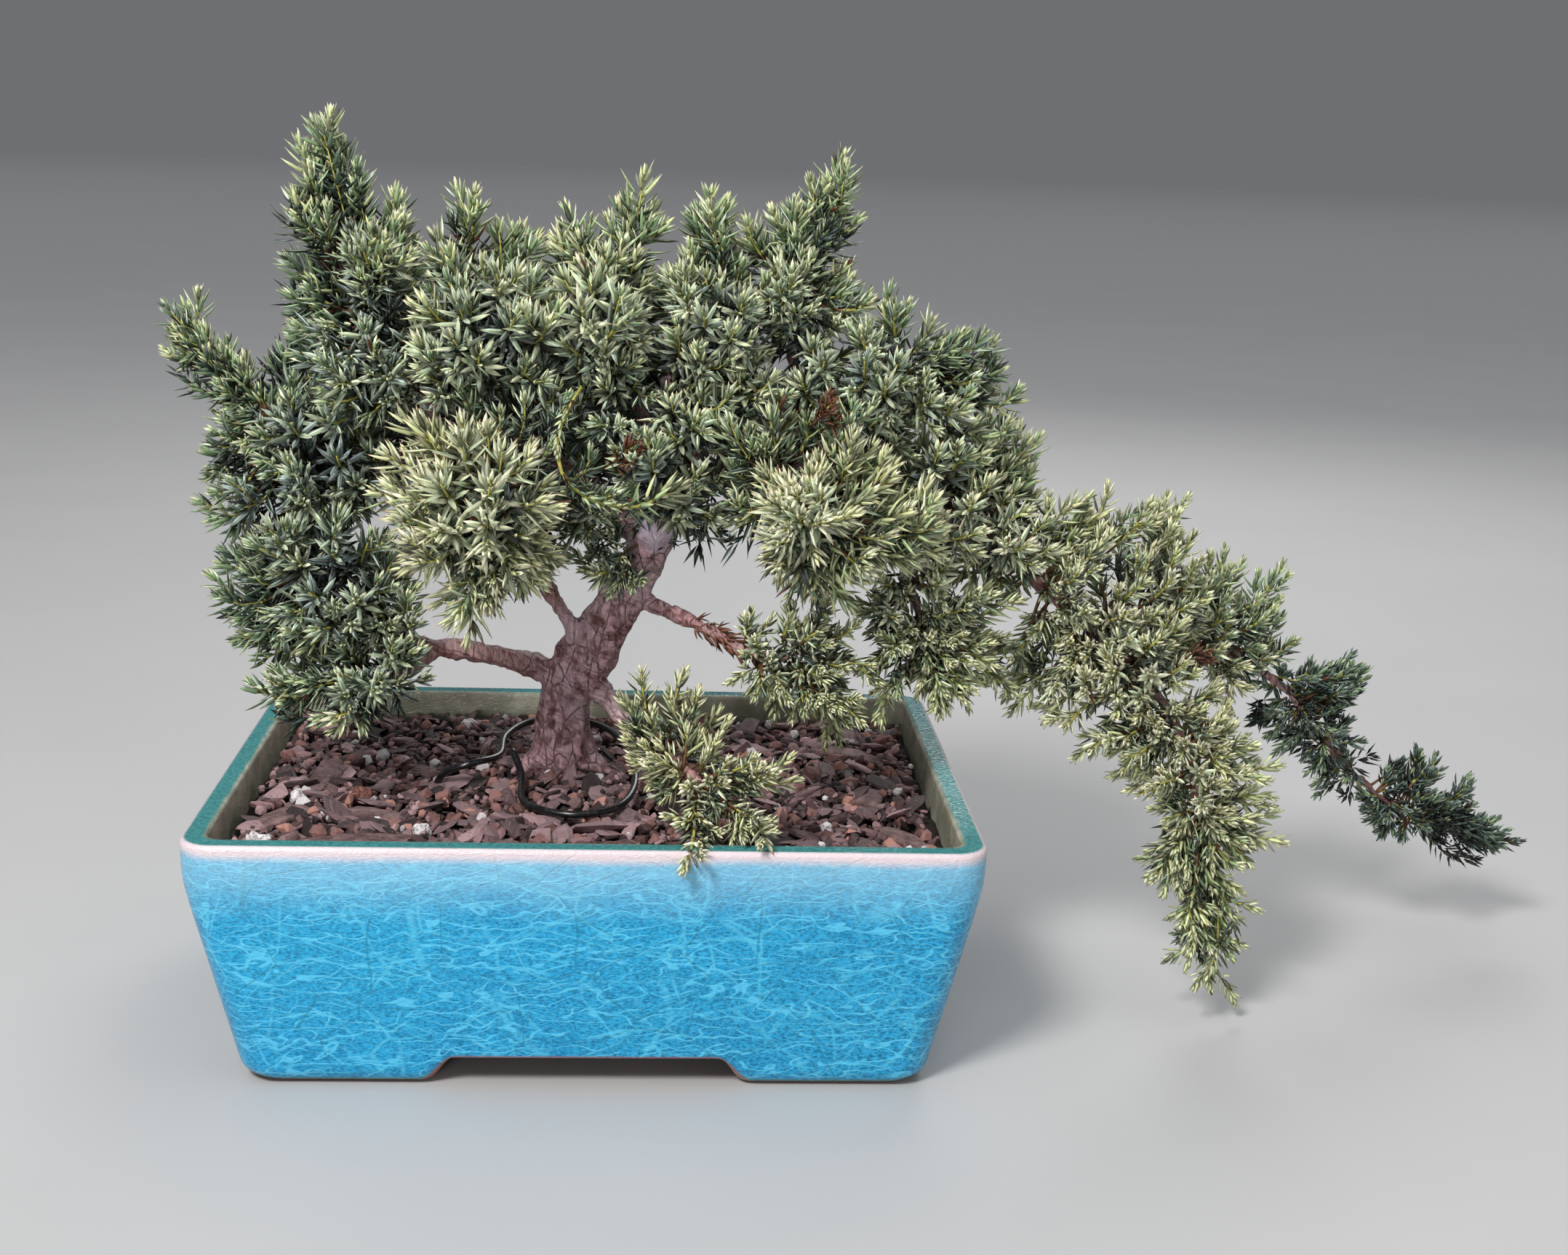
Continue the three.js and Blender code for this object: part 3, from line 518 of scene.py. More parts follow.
def join(parts):
    """Stacks closed grids, given as point and face arrays, into one set of points and faces."""
    starts = np.cumsum([0] + [len(points) for points, _ in parts[:-1]])
    return (np.vstack([points for points, _ in parts]),
            np.vstack([facing_out(points, faces) + start
                       for (points, faces), start in zip(parts, starts)]))


outward = np.stack([np.cos(facing), np.sin(facing), 0 * facing], -1)
swell = 0.10 * fractal(wall, 26, 2, seed=3)[..., None]
swell = swell * np.clip((POT_HEIGHT - 4 - row_z) / 10, 0, 1)[..., None]
wall = wall + swell * outward
pieces = [(wall.reshape(-1, 3), wall_faces)]
for side in (-1, 1):
    half = floor_half(side)
    pieces.append((half.reshape(-1, 3), grid_faces(len(half), half.shape[1], close_rows=True)))
pot_points, pot_faces = join(pieces)
print("pot", len(pot_faces), "faces, swell up to", round(float(np.abs(swell).max()), 3), "mm")

# %% [markdown]
# ## The glaze
#
# The pot's turquoise glaze has crazed and flowed. Fine paler lines wander nearly level across
# it, long cracks cross them at a slant, and between them the colour breaks into small darker
# grains. Where the glaze ran thin at the lip's outer edge the pale clay shows pink-white, the rim's
# top is dark teal, and inside it turns to olive cream. The foot's edge is a thin red-brown line.
# Every one of these is a mask made from the height and from how deep a point is in the wall.


# %% Mix the glaze
def absolute(wire):
    return wire.math("ABSOLUTE")


def length(x, y):
    return (x * x + y * y).math("SQRT")


def lines(shader, place, scale, stretch, turn, width, wander, seed):
    """A net of lines, 1 on a line and 0 off it: the edges between stretched, bent cells."""
    turned = shader.mapped(place, stretch, turn, (seed, seed * 2, seed))
    bent = shader.shift(turned, shader.noise(turned, scale * 0.35, 3.0, colour=True), wander)
    edge = shader.cells(bent, scale, "DISTANCE_TO_EDGE")
    return 1 - edge.step(0.0, width)


def waves(shader, place, spacing, turn, wander, width, seed):
    """Wavy, nearly level lines `spacing` mm apart: where the height over the spacing, plus noise
    drawn out sideways, passes a half. More noise picks the stretches where a line shows."""
    turned = shader.mapped(place, turn=turn, move=(seed, seed * 2, seed))
    drawn_out = shader.mapped(turned, (0.05, 0.05, 0.11))
    _, _, high = shader.split(turned)
    share = (high / spacing + shader.noise(drawn_out, 1.0, 2.0) * wander).math("FRACT")
    shows = shader.noise(drawn_out, 1.9, 2.0).step(0.40, 0.52)
    return (1 - absolute(share - 0.5).step(width * 0.25, width)) * shows


glaze = Shader("crackle_glaze", Metallic=0.0, IOR=1.38)
where = glaze.place()
gx, gy, gz = glaze.split(where)
below = BEND_HEIGHT - gz
wall_lean = (below + (below * below + LIP_BEND**2 / 4).math("SQRT")) * (SLOPE / 2)
side_x = (absolute(gx) - (POT_LENGTH / 2 - CORNER) + wall_lean).math("MAXIMUM", 0.0)
side_y = (absolute(gy) - (POT_DEPTH / 2 - CORNER) + wall_lean).math("MAXIMUM", 0.0)
depth = CORNER - length(side_x, side_y)

flow = glaze.noise(where, 0.022, 3.0)
blotch = glaze.noise(where, 0.09, 4.0, 0.6)
level = waves(glaze, where, 4.0, (0, 0.06, 0), 3.4, 0.085, 3.0)
level_two = waves(glaze, where, 5.4, (0.04, -0.15, 0), 3.8, 0.065, 23.0)
level_three = waves(glaze, where, 6.6, (-0.05, 0.36, 0), 3.4, 0.05, 41.0)
level_fine = lines(glaze, where, 1.0, (0.5, 0.5, 1.15), (-0.1, 0.12, 0), 0.17, 0.9, 11.0)
slant = lines(glaze, where, 0.075, (0.55, 0.55, 0.75), (0.7, 0.6, 0.4), 0.03, 7.0, 7.0)
slant_back = lines(glaze, where, 0.09, (0.6, 0.6, 0.8), (-0.8, -0.5, 0.9), 0.03, 6.0, 19.0)
grain_at = glaze.shift(where, glaze.noise(where, 0.5, 2.0, colour=True), 1.2)
grain = glaze.noise(glaze.mapped(grain_at, (0.62, 0.62, 1.2)), 1.35, 2.0, 0.6)
grain_tone = glaze.noise(where, 0.9, 4.0, 0.7)
low_right = (gx / 100 + 1 - gz / 60).step(-0.2, 1.9)

body = glaze.mix(blotch.step(0.3, 0.72), (0.003, 0.250, 0.510), (0.008, 0.315, 0.600))
dark_grain = 1 - grain.step(0.40, 0.54)
level = level.math("MAXIMUM", level_two).math("MAXIMUM", level_three)
cracks = slant.math("MAXIMUM", slant_back) * blotch.step(0.35, 0.6)
shadow_crack = lines(glaze, where, 0.06, (0.6, 0.6, 0.8), (0.5, -0.75, 0.2), 0.012, 7.0, 31.0)
body = glaze.layers(
    body, (flow.step(0.35, 0.7) * 0.5, (0.014, 0.360, 0.630)),
    (dark_grain * (0.55 + low_right * 0.40), (0.002, 0.115, 0.225)),
    (grain.step(0.54, 0.66) * 0.30, (0.06, 0.48, 0.76)), (low_right * 0.22, (0.012, 0.235, 0.46)),
    (level_fine * grain_tone.step(0.3, 0.6) * 0.42, (0.08, 0.52, 0.80)),
    (level * 0.66, (0.12, 0.60, 0.86)), (cracks * 0.6, (0.10, 0.53, 0.76)),
    (shadow_crack * 0.5, (0.010, 0.17, 0.27)))

lip_fade = (gz + blotch * 7 - 3.5).step(46.0, 66.0)
pale_edge = (gz + flow * 2.2 + grain_tone * 1.4).step(65.6, 68.6)
rim_teal = glaze.mix(grain_tone.step(0.3, 0.7), (0.020, 0.155, 0.165), (0.060, 0.29, 0.295))
inner = glaze.mix(blotch.step(0.35, 0.7), (0.26, 0.27, 0.20), (0.44, 0.43, 0.35))
inner = glaze.mix(grain_tone.step(0.58, 0.68) * 0.5, inner, (0.33, 0.30, 0.06))
long_side = absolute(gy).step(50.0, 50.1)
in_front_arch = 1 - absolute(gx).step(FRONT_ARCH - ARCH_CURVE, FRONT_ARCH)
in_side_arch = 1 - absolute(gy).step(SIDE_ARCH - ARCH_CURVE, SIDE_ARCH)
lowest = (long_side * in_front_arch + (1 - long_side) * in_side_arch) * ARCH_HEIGHT
foot_line = 1 - (gz - lowest + grain_tone * 0.7).step(0.9, 1.7)
clay = glaze.mix(grain_tone, (0.16, 0.06, 0.045), (0.25, 0.10, 0.07))
bare = depth.step(2.6, 3.6) * (1 - gz.step(13.0, 14.0))
body = glaze.layers(
    body, (lip_fade * 0.55, (0.30, 0.52, 0.64)), (pale_edge * 0.94, (0.66, 0.545, 0.57)),
    ((depth + grain_tone * 0.6).step(0.9, 1.8), rim_teal),
    ((depth + blotch * 1.6).step(5.6, 7.0), inner), (foot_line * 0.75, (0.36, 0.115, 0.085)),
    (bare, clay))

ridge = level * 0.55 + level_fine * 0.45 + cracks * 0.6 - shadow_crack * 0.7 - dark_grain * 0.5
soft = glaze.bump(blotch, 0.30 * MM, 0.5)
glaze_material = glaze.finish(
    Base_Color=body, Roughness=(0.16 + grain_tone * 0.10) + bare * 0.5,
    Coat_Weight=(1 - bare) * 0.06,
    Normal=glaze.bump(ridge + grain_tone * 0.4, 0.10 * MM, 0.75, soft))
build("crackle_pot", pot_points, pot_faces, glaze_material, ["pot"])
print("the pot is glazed")

# %% [markdown]
# ## Where the shoots end
#
# The CAD holds each pad of foliage as a closed lump of the right size. On the real tree a pad is
# many short shoots that all reach for the light. So tips are scattered over the lump's surface,
# a few millimetres apart, and each shoot is drawn back from its tip to the nearest wood. Tips that
# face a neighbouring lump or the wood from a hair's breadth away are mostly left out, because
# nobody could see them.


# %% Scatter tips on the pads
def triangles_of(name):
    """A CAD node's triangles in millimetres about the pot's middle: (count, 3 corners, xyz)."""
    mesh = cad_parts[name].data
    points = np.empty(len(mesh.vertices) * 3, np.float32)
    mesh.vertices.foreach_get("co", points)
    mesh.calc_loop_triangles()
    corners = np.empty(len(mesh.loop_triangles) * 3, np.int32)
    mesh.loop_triangles.foreach_get("vertices", corners)
    return (points.reshape(-1, 3)[corners.reshape(-1, 3)] - pot_middle) / MM


def scatter(triangles, count, rng):
    """Random points on triangles, as likely in each as its area, with the outward normals."""
    edge_a, edge_b = triangles[:, 1] - triangles[:, 0], triangles[:, 2] - triangles[:, 0]
    normal = np.cross(edge_a, edge_b)
    area = np.linalg.norm(normal, axis=1)
    chosen = rng.choice(len(area), count, p=area / area.sum())
    a, b = rng.random((2, count, 1))
    a, b = np.where(a + b > 1, 1 - a, a), np.where(a + b > 1, 1 - b, b)
    return triangles[chosen, 0] + a * edge_a[chosen] + b * edge_b[chosen], unit(normal[chosen])


def nearest(points, targets):
    """For each point, the index of the nearest target and the distance to it."""
    index, distance = [], []
    for part in np.array_split(points, max(1, len(points) // 256)):
        square = ((part[:, None] - targets[None]) ** 2).sum(-1)
        index.append(square.argmin(1))
        distance.append(np.sqrt(square.min(1)))
    return np.concatenate(index), np.concatenate(distance)


ROUNDS = 12


def thin_out(points, spacing, rng):
    """Which points to keep so that no two are closer than the spacing: in each round, a point
    stays if no rival near it drew a higher number, and its rivals go."""
    close = ((points[:, None] - points[None]) ** 2).sum(-1) < spacing**2
    np.fill_diagonal(close, False)
    draw = rng.random(len(points))
    kept, alive = np.zeros(len(points), bool), np.ones(len(points), bool)
    for _ in range(ROUNDS):
        rival = (close & alive[None] & (draw[None] > draw[:, None])).any(1)
        won = alive & ~rival
        kept |= won
        alive &= ~won & ~(close & won[None]).any(1)
    return kept


def area_of(triangles):
    edges = triangles[:, 1:] - triangles[:, :1]
    return float(np.linalg.norm(np.cross(edges[:, 0], edges[:, 1]), axis=1).sum() / 2)


WOOD_POINTS, SHELL_SPACE = 9000, 3
rng = np.random.default_rng(41)
wood_points, _ = scatter(triangles_of("trunk"), WOOD_POINTS, rng)
pad_triangles = {name: triangles_of(name) for name in pads}
shell_points = {name: scatter(triangles, int(area_of(triangles) / SHELL_SPACE), rng)[0]
                for name, triangles in pad_triangles.items()}
print("pads' surface", round(sum(area_of(t) for t in pad_triangles.values()) / 100), "cm2")

# %% [markdown]
# ## How each part of the tree grows
#
# The branches at the left are old, dark and blue, with long needles. The crown is yellower. The
# trailing branches and the low shoot in front are young: short, crowded, pale needles, apart from
# the far end, which is dark. The table gives each pad its needle length, the space between its
# tips, its mean tint on a scale from 0, dark, to 6, new growth, how far its shoots turn up to the
# light, and how far its tips stand out of the CAD lump, in millimetres.

# %% Describe the pads
GROWTH = {
    "left_crown": (6.6, 7.4, 3.2, 0.95, -3.2), "left_spire": (6.2, 7.2, 3.2, 0.95, -1.6),
    "left_shoulder": (7.2, 8.0, 2.5, 0.50, 0.0), "left_side": (7.2, 8.0, 2.4, 0.70, 2.5),
    "left_low": (7.0, 7.8, 2.7, 0.50, 3.0), "left_skirt": (6.4, 7.4, 3.1, 0.30, 1.0),
    "front_left": (8.0, 8.4, 5.1, 0.45, 3.0), "crown_inner_left": (7.4, 8.0, 3.6, 0.95, 1.5),
    "crown_middle": (7.4, 8.0, 3.6, 1.00, 0.0), "heart": (5.6, 7.0, 3.0, 0.45, 4.0),
    "trunk_tuft": (5.2, 6.4, 3.6, 0.10, 0.0), "crown_inner_right": (6.8, 7.6, 3.5, 0.95, 0.0),
    "right_peak": (6.4, 7.2, 3.4, 0.95, -1.6), "middle_right": (6.6, 7.6, 3.6, 0.75, 0.0),
    "right_shoulder": (6.4, 7.6, 3.3, 0.80, 2.0), "right_slope": (6.2, 7.4, 3.5, 0.70, 2.5),
    "front_right": (6.8, 7.6, 4.8, 0.45, 0.0), "right_side": (6.0, 7.2, 4.2, 0.40, 6.5),
    "right_skirt": (4.4, 6.6, 4.4, 0.15, 4.5), "right_skirt_end": (4.2, 6.6, 4.4, 0.10, 0.0),
    "trail_shoulder": (5.0, 6.8, 4.8, 0.45, 5.5), "trail_back": (5.0, 6.8, 3.4, 0.45, 3.0),
    "trail_middle": (4.9, 6.9, 5.1, 0.30, 4.5), "trail_front": (4.7, 6.9, 5.1, 0.20, 3.0),
    "trail_tip": (4.6, 6.8, 4.6, 0.05, 0.0), "far_runner": (4.8, 6.2, 1.3, 0.30, 0.0),
    "far_end": (4.6, 6.2, 1.0, 0.25, 0.0), "low_front": (4.9, 7.8, 5.2, 0.35, 1.0),
    "low_front_tip": (4.6, 7.8, 5.2, 0.15, 0.0), "back_left": (6.0, 7.8, 2.4, 0.45, 4.0),
    "back_middle": (6.0, 7.8, 2.6, 0.50, 4.0), "back_right": (5.6, 7.6, 2.6, 0.45, 4.0),
}
LOW_LIMB = 80.0  # the low shoot in front grows from wood below this height
TRIES, NEXT_TO, LEFT_ANYWAY = 5, 1.7, 0.12
UP = np.array([0.0, 0.0, 1.0])


def tips_of(name, spacing, rise, fuller, rng):
    """Tips on a pad, the way each grows (out from the wood, off the surface, and upwards), and the
    points of the wood they grow from. Tips next to another pad or the wood are mostly left out."""
    triangles = pad_triangles[name]
    count = int(area_of(triangles) / spacing**2 * TRIES)
    tips, normals = scatter(triangles, count, rng)
    low, high = tips.min(0) - 3, tips.max(0) + 3
    near = [p[((p > low) & (p < high)).all(1)] for n, p in shell_points.items() if n != name]
    near = np.vstack(near + [wood_points])
    hidden = (nearest(tips, near)[1] < NEXT_TO) & (rng.random(count) > LEFT_ANYWAY)
    tips, normals = tips[~hidden], normals[~hidden]
    kept = thin_out(tips, spacing, rng)
    tips, normals = tips[kept], normals[kept]
    tips = tips + normals * (fuller - 0.6 - 1.8 * rng.random((len(tips), 1)))
    wood = wood_points[wood_points[:, 2] < LOW_LIMB] if "low_front" in name else wood_points
    roots = wood[nearest(tips, wood)[0]]
    away = unit(tips - roots)
    way = unit(0.50 * normals + 0.65 * away + rise * UP + 0.16 * rng.normal(size=tips.shape))
    return tips, way, roots


# %% [markdown]
# ## From a tip back to the wood
#
# Each shoot follows a cubic Bezier curve. It leaves the wood towards the tip and arrives along the
# way it grows. Its last two centimetres or so carry needles. Most shoots carry one or two short
# side shoots there too, which is what makes the crowded tufts of a juniper.


# %% Bend the shoots
def bezier(path, t):
    """A point and a direction on cubic curves: path is (shoots, 4, 3), t is (shoots, steps)."""
    t = t[..., None]
    p0, p1, p2, p3 = (path[:, None, k] for k in range(4))
    s = 1 - t
    point = s**3 * p0 + 3 * s * s * t * p1 + 3 * s * t * t * p2 + t**3 * p3
    slope = 3 * s * s * (p1 - p0) + 6 * s * t * (p2 - p1) + 3 * t * t * (p3 - p2)
    return point, unit(slope)


def curves(roots, tips, way):
    """The four control points of each shoot, and its rough length."""
    span = np.linalg.norm(tips - roots, axis=1)[:, None]
    span = np.maximum(span, 6.0)
    first = roots + (tips - roots) * 0.35
    last = tips - way * 0.42 * span
    return np.stack([roots, first, last, tips], 1), span[:, 0]


def back_from_tip(back, span, least):
    """A curve's parameter this far back from its tip. A curve is about 1.2 times its span long."""
    return np.clip(1 - back / (1.2 * span), least, 1)


def side_shoots(path, span, tips, way, each, rng):
    """Short shoots that leave a main one near its tip at about 40 degrees and turn to follow it."""
    parent = np.repeat(np.arange(len(tips)), rng.poisson(each, len(tips)))
    back = rng.uniform(4.5, 15, len(parent))
    start, along = bezier(path[parent], back_from_tip(back, span[parent], 0.1)[:, None])
    start, along = start[:, 0], along[:, 0]
    out = unit(np.cross(along, rng.normal(size=along.shape)))
    size = np.clip(rng.normal(8.5, 1.8, len(parent)), 5, 12)[:, None]
    aim = unit(0.75 * along + 0.62 * out + 0.18 * UP)
    end = start + size * aim
    arrive = unit(aim + 0.5 * way[parent] + 0.15 * UP)
    side = np.stack([start, start + size * 0.3 * unit(along * 0.4 + out), end - size * 0.4 * arrive,
                     end], 1)
    return side, size[:, 0]


# %% [markdown]
# ## The needles
#
# A juniper needle is a flat awl, keeled below, in whorls of three. Each whorl is turned by sixty
# degrees against the last. Needles stand nearly square to an old shoot and close up at its tip.
# One needle has eight points. They are worked out for every needle of a pad at once from three
# directions: along the needle, towards the shoot's tip, and across.

# %% Grow needles on the shoots
NEEDLE = np.array([  # across, up, along, as shares of the width, the thickness and the length
    (0, 0, 0), (-0.5, 0.35, 0.28), (0.5, 0.35, 0.28), (0, -0.65, 0.30),
    (-0.40, 0.32, 0.66), (0.40, 0.32, 0.66), (0, -0.50, 0.68), (0, 0.1, 1)])
NEEDLE_FACES = np.array([  # corners of each triangle, upper faces first
    (1, 2, 5), (1, 5, 4), (0, 2, 1), (4, 5, 7), (2, 3, 6), (2, 6, 5), (3, 1, 4), (3, 4, 6),
    (0, 3, 2), (0, 1, 3), (5, 6, 7), (6, 4, 7)])
NEEDLE_ACROSS = np.array([0.5, 0, 1, 0.5, 0.1, 0.9, 0.5, 0.5])
SIMPLE = np.array([(0, 0, 0), (-0.5, 0.3, 0.4), (0.5, 0.3, 0.4), (0, -0.6, 0.42), (0, 0, 1)])
SIMPLE_FACES = np.array([(0, 2, 1), (1, 2, 4), (0, 3, 2), (0, 1, 3), (2, 3, 4), (3, 1, 4)])
SIMPLE_ACROSS = np.array([0.5, 0, 1, 0.5, 0.5])
CELLS, WHORLS = 8, 16


def cell_uv(across, along, upper, tint, shade):
    """Where a corner lies in the chart: its tint's column, its row of painted shade, and within
    that cell the upper face on the left half and the keeled face on the right."""
    u = np.where(upper, 0.03 + 0.44 * across, 0.53 + 0.44 * across)
    v = 0.04 + 0.92 * along
    return np.stack([(tint + u) / CELLS, (shade + v) / CELLS], -1)


def needles(base, axis, up, length, width, tint, shade, simple=False):
    """Points, triangles and chart places of many needles. A point is the base, plus its share of
    the length along the axis, of the width across, and of the thickness up, with a slight curve
    towards the shoot that grows with the square of the way along."""
    form, faces, across_share, upper = ((SIMPLE, SIMPLE_FACES, SIMPLE_ACROSS, 2) if simple
                                        else (NEEDLE, NEEDLE_FACES, NEEDLE_ACROSS, 4))
    across = np.cross(axis, up)
    along = form[:, 2]
    points = (base[:, None] + form[None, :, :1] * (across * width[:, None])[:, None]
              + form[None, :, 1:2] * (up * 0.42 * width[:, None])[:, None]
              + along[None, :, None] * (axis * length[:, None])[:, None]
              + (0.10 * along**2)[None, :, None] * (up * length[:, None])[:, None])
    every = faces[None] + np.arange(len(base))[:, None, None] * len(form)
    is_upper = (np.arange(len(faces)) < upper)[:, None] * np.ones((1, 3), bool)
    uv = cell_uv(across_share[faces][None], along[faces][None], is_upper[None],
                 tint[:, None, None], shade[:, None, None])
    return points.reshape(-1, 3), every.reshape(-1, 3), uv.reshape(-1, 2)


def clothe(path, span, leafy, needle, tint, rng, simple=False, withered=0.0, inside_shade=0.0):
    """Whorls of three needles down each shoot from its tip. Over the first few whorls the space
    between them grows from about 1.4 to 2.5 mm, the needles' angle from 17 degrees to between 50
    and 70, and their length from a half to full. Needles on old wood are darker in colour, and some
    dead. Each needle's chart row is painted shade and light: darker on old wood, lighter near the
    tip, and darker by the last argument's number of rows for shoots deep inside."""
    whorl = np.arange(WHORLS)
    step = np.cumsum(1.35 + 1.15 * np.clip(whorl / 4, 0, 1)) - 1.2
    back = step[None] * rng.uniform(0.9, 1.12, (len(path), 1)) * (0.62 + 0.06 * needle)
    there = back < leafy[:, None]
    point, along = bezier(path, back_from_tip(back, span[:, None], 0.02))
    aside = unit(np.cross(along, rng.normal(size=(len(path), 1, 3))))
    square = np.cross(along, aside)
    turn = (rng.uniform(0, 2 * pi, (len(path), 1, 1)) + whorl[None, :, None] * (pi / 3)
            + np.arange(3)[None, None] * (2 * pi / 3))
    turn = turn + rng.normal(0, 0.16, turn.shape[:1] + (WHORLS, 3))
    age = np.clip(back / 10, 0, 1)[..., None]
    widest = 12 + 5.0 * needle
    angle = np.radians(17 + widest * age**0.75 + rng.normal(0, 8, turn.shape))
    radial = around(aside[:, :, None], square[:, :, None], turn)
    axis = along[:, :, None] * np.cos(angle)[..., None] + radial * np.sin(angle)[..., None]
    up = unit(along[:, :, None] - (along[:, :, None] * axis).sum(-1, keepdims=True) * axis)
    size = 1.12 * needle * (0.48 + 0.52 * np.clip(back / 5.0, 0, 1))[..., None]
    size = size * rng.normal(1, 0.12, turn.shape)
    width = np.clip(0.78 + 0.09 * size, 0.85, 1.55)
    base = np.broadcast_to(point[:, :, None], axis.shape) + radial * 0.3
    fresh = np.clip(1 - back / 5.0, 0, 1)[..., None]
    old = np.clip((back - 11) / 10, 0, 1)[..., None]
    shoot_tint = tint + rng.normal(0, 0.45, (len(path), 1, 1))
    drawn = shoot_tint + 1.1 * fresh - 2.3 * old + rng.normal(0, 0.55, turn.shape)
    drawn = np.clip(np.round(drawn), 0, 6)
    dead = rng.random(turn.shape) < 0.0015 + 0.12 * old**2 + withered
    drawn = np.where(dead, CELLS - 1, drawn)
    # The chart row is painted shade and light: darker on old needles deep in the pad, lighter on
    # fresh ones near the tip, and darker by the last argument inside; the rest is random.
    shade = 3.3 - inside_shade + 0.9 * fresh - 3.4 * old + rng.normal(0, 1.8, turn.shape)
    shade = np.clip(np.round(shade), 0, 6)
    mask = np.broadcast_to(there[..., None], turn.shape)
    return needles(base[mask], axis[mask], up[mask], size[mask], width[mask], drawn[mask],
                   shade[mask], simple)


def stems(path, radius, steps, column):
    """Three-sided stems along the shoots, thinner towards the tip. Their chart cells are the top
    row: brown wood in column 0, green in column 1."""
    t = np.broadcast_to(np.linspace(0, 0.985, steps), (len(path), steps))
    point, along = bezier(path, t)
    aside = unit(np.cross(along, [[[0.31, 0.93, 0.17]]]))
    square = np.cross(along, aside)
    thick = radius[:, None] * np.linspace(1, 0.45, steps)[None]
    turn = np.arange(3) * (2 * pi / 3)
    ring = around(aside[:, :, None], square[:, :, None], turn)
    points = point[:, :, None] + ring * thick[..., None, None]
    quads = grid_faces(steps, 3)
    caps = np.array([[2, 1, 0], [steps * 3 - 3, steps * 3 - 2, steps * 3 - 1]])
    faces = np.concatenate([halves(quads), caps])
    every = faces[None] + np.arange(len(path))[:, None, None] * (steps * 3)
    corner = np.array([(0.1, 0.1), (0.9, 0.1), (0.9, 0.9), (0.1, 0.9)])
    half = len(quads)
    uv = np.concatenate([np.tile(corner[[0, 1, 2]], (half, 1, 1)),
                         np.tile(corner[[0, 2, 3]], (half, 1, 1)),
                         np.tile(corner[[0, 1, 2]], (2, 1, 1))])
    young = (np.arange(half) // 3 >= (steps - 1) * 0.6).astype(float)
    young = np.concatenate([young, young, [0, 1]])[None] * np.ones((len(path), 1))
    cell = np.stack([np.maximum(young, column[:, None]), np.full_like(young, CELLS - 1)], -1)
    uv = (uv[None] + cell[:, :, None]) / CELLS
    return points.reshape(-1, 3), every.reshape(-1, 3), uv.reshape(-1, 2)


def gather(parts):
    """Stacks point, face and chart arrays of many parts into one."""
    starts = np.cumsum([0] + [len(part[0]) for part in parts[:-1]])
    return (np.vstack([part[0] for part in parts]),
            np.vstack([part[1] + start for part, start in zip(parts, starts)]),
            np.vstack([part[2] for part in parts]))


# %% [markdown]
# ## The needles' finish
#
# A needle's face towards the shoot has two blue-white bands with a green rib between them. Its
# keeled back is plain green with a pale edge. Old needles are dark, new ones yellow-green with a
# peach point, and a few inside are dead and red-brown. The material reads a chart: eight columns
# of tint by eight rows of painted shade, dark deep in a pad and light at the tips. Each needle
# was put in its own cell, so one material paints them all.


# %% Mix the needles' colours
def hue(red, green, blue):
    """A screen colour, 0 to 255, as the linear numbers that a shader adds up."""
    values = np.array([red, green, blue]) / 255
    return tuple(float(v) for v in np.where(
        values > 0.04045, ((values + 0.055) / 1.055) ** 2.4, values / 12.92))


BACKS = [(30, 36, 24), (66, 84, 76), (90, 112, 90), (120, 144, 106), (158, 176, 130),
         (194, 200, 150), (200, 204, 158), (104, 64, 46)]
BANDS = [(72, 80, 68), (168, 184, 188), (196, 208, 204), (212, 224, 206), (222, 232, 206),
         (230, 236, 212), (238, 236, 216), (142, 98, 74)]
POINTS = [(60, 52, 34), (150, 156, 132), (182, 178, 150), (222, 200, 168), (236, 208, 178),
          (244, 208, 182), (248, 196, 180), (96, 52, 38)]


def chart_colour(shader, column, colours):
    """One colour for each column of the chart, with no blending between them."""
    stops = [(max(0.0, (k - 0.5) / CELLS), hue(*colour)) for k, colour in enumerate(colours)]
    made = shader.ramp(column / CELLS, stops)
    made.socket.node.color_ramp.interpolation = "CONSTANT"
    return made


def read_chart(shader):
    """The place in the chart, its cell's column and row, and the place within that cell."""
    place = shader.node("ShaderNodeUVMap", {"uv_map": "OFBake"})
    x, y, _ = shader.split(place)
    column, row = (x * CELLS).math("FLOOR"), (y * CELLS).math("FLOOR")
    return place, column, row, x * CELLS - column, y * CELLS - row


leaf = Shader("juniper_needles", IOR=1.45)
_, column, row, in_x, in_y = read_chart(leaf)
upper_face = in_x.below(0.5)
across = upper_face * (in_x * 2) + (1 - upper_face) * (in_x * 2 - 1)
from_rib = absolute(across - 0.5)
band = upper_face * from_rib.step(0.05, 0.11) * (1 - from_rib.step(0.33, 0.44))
pale_margin = (1 - upper_face) * from_rib.step(0.36, 0.46) * 0.35
band_colour = chart_colour(leaf, column, BANDS)
needle_colour = leaf.layers(
    chart_colour(leaf, column, BACKS), (band * (1 - in_y.step(0.72, 0.95)) * 0.76, band_colour),
    (pale_margin, band_colour), (in_y.step(0.76, 0.97) * 0.8, chart_colour(leaf, column, POINTS)),
    ((1 - in_y.step(0.02, 0.25)) * 0.35, hue(190, 190, 120)))
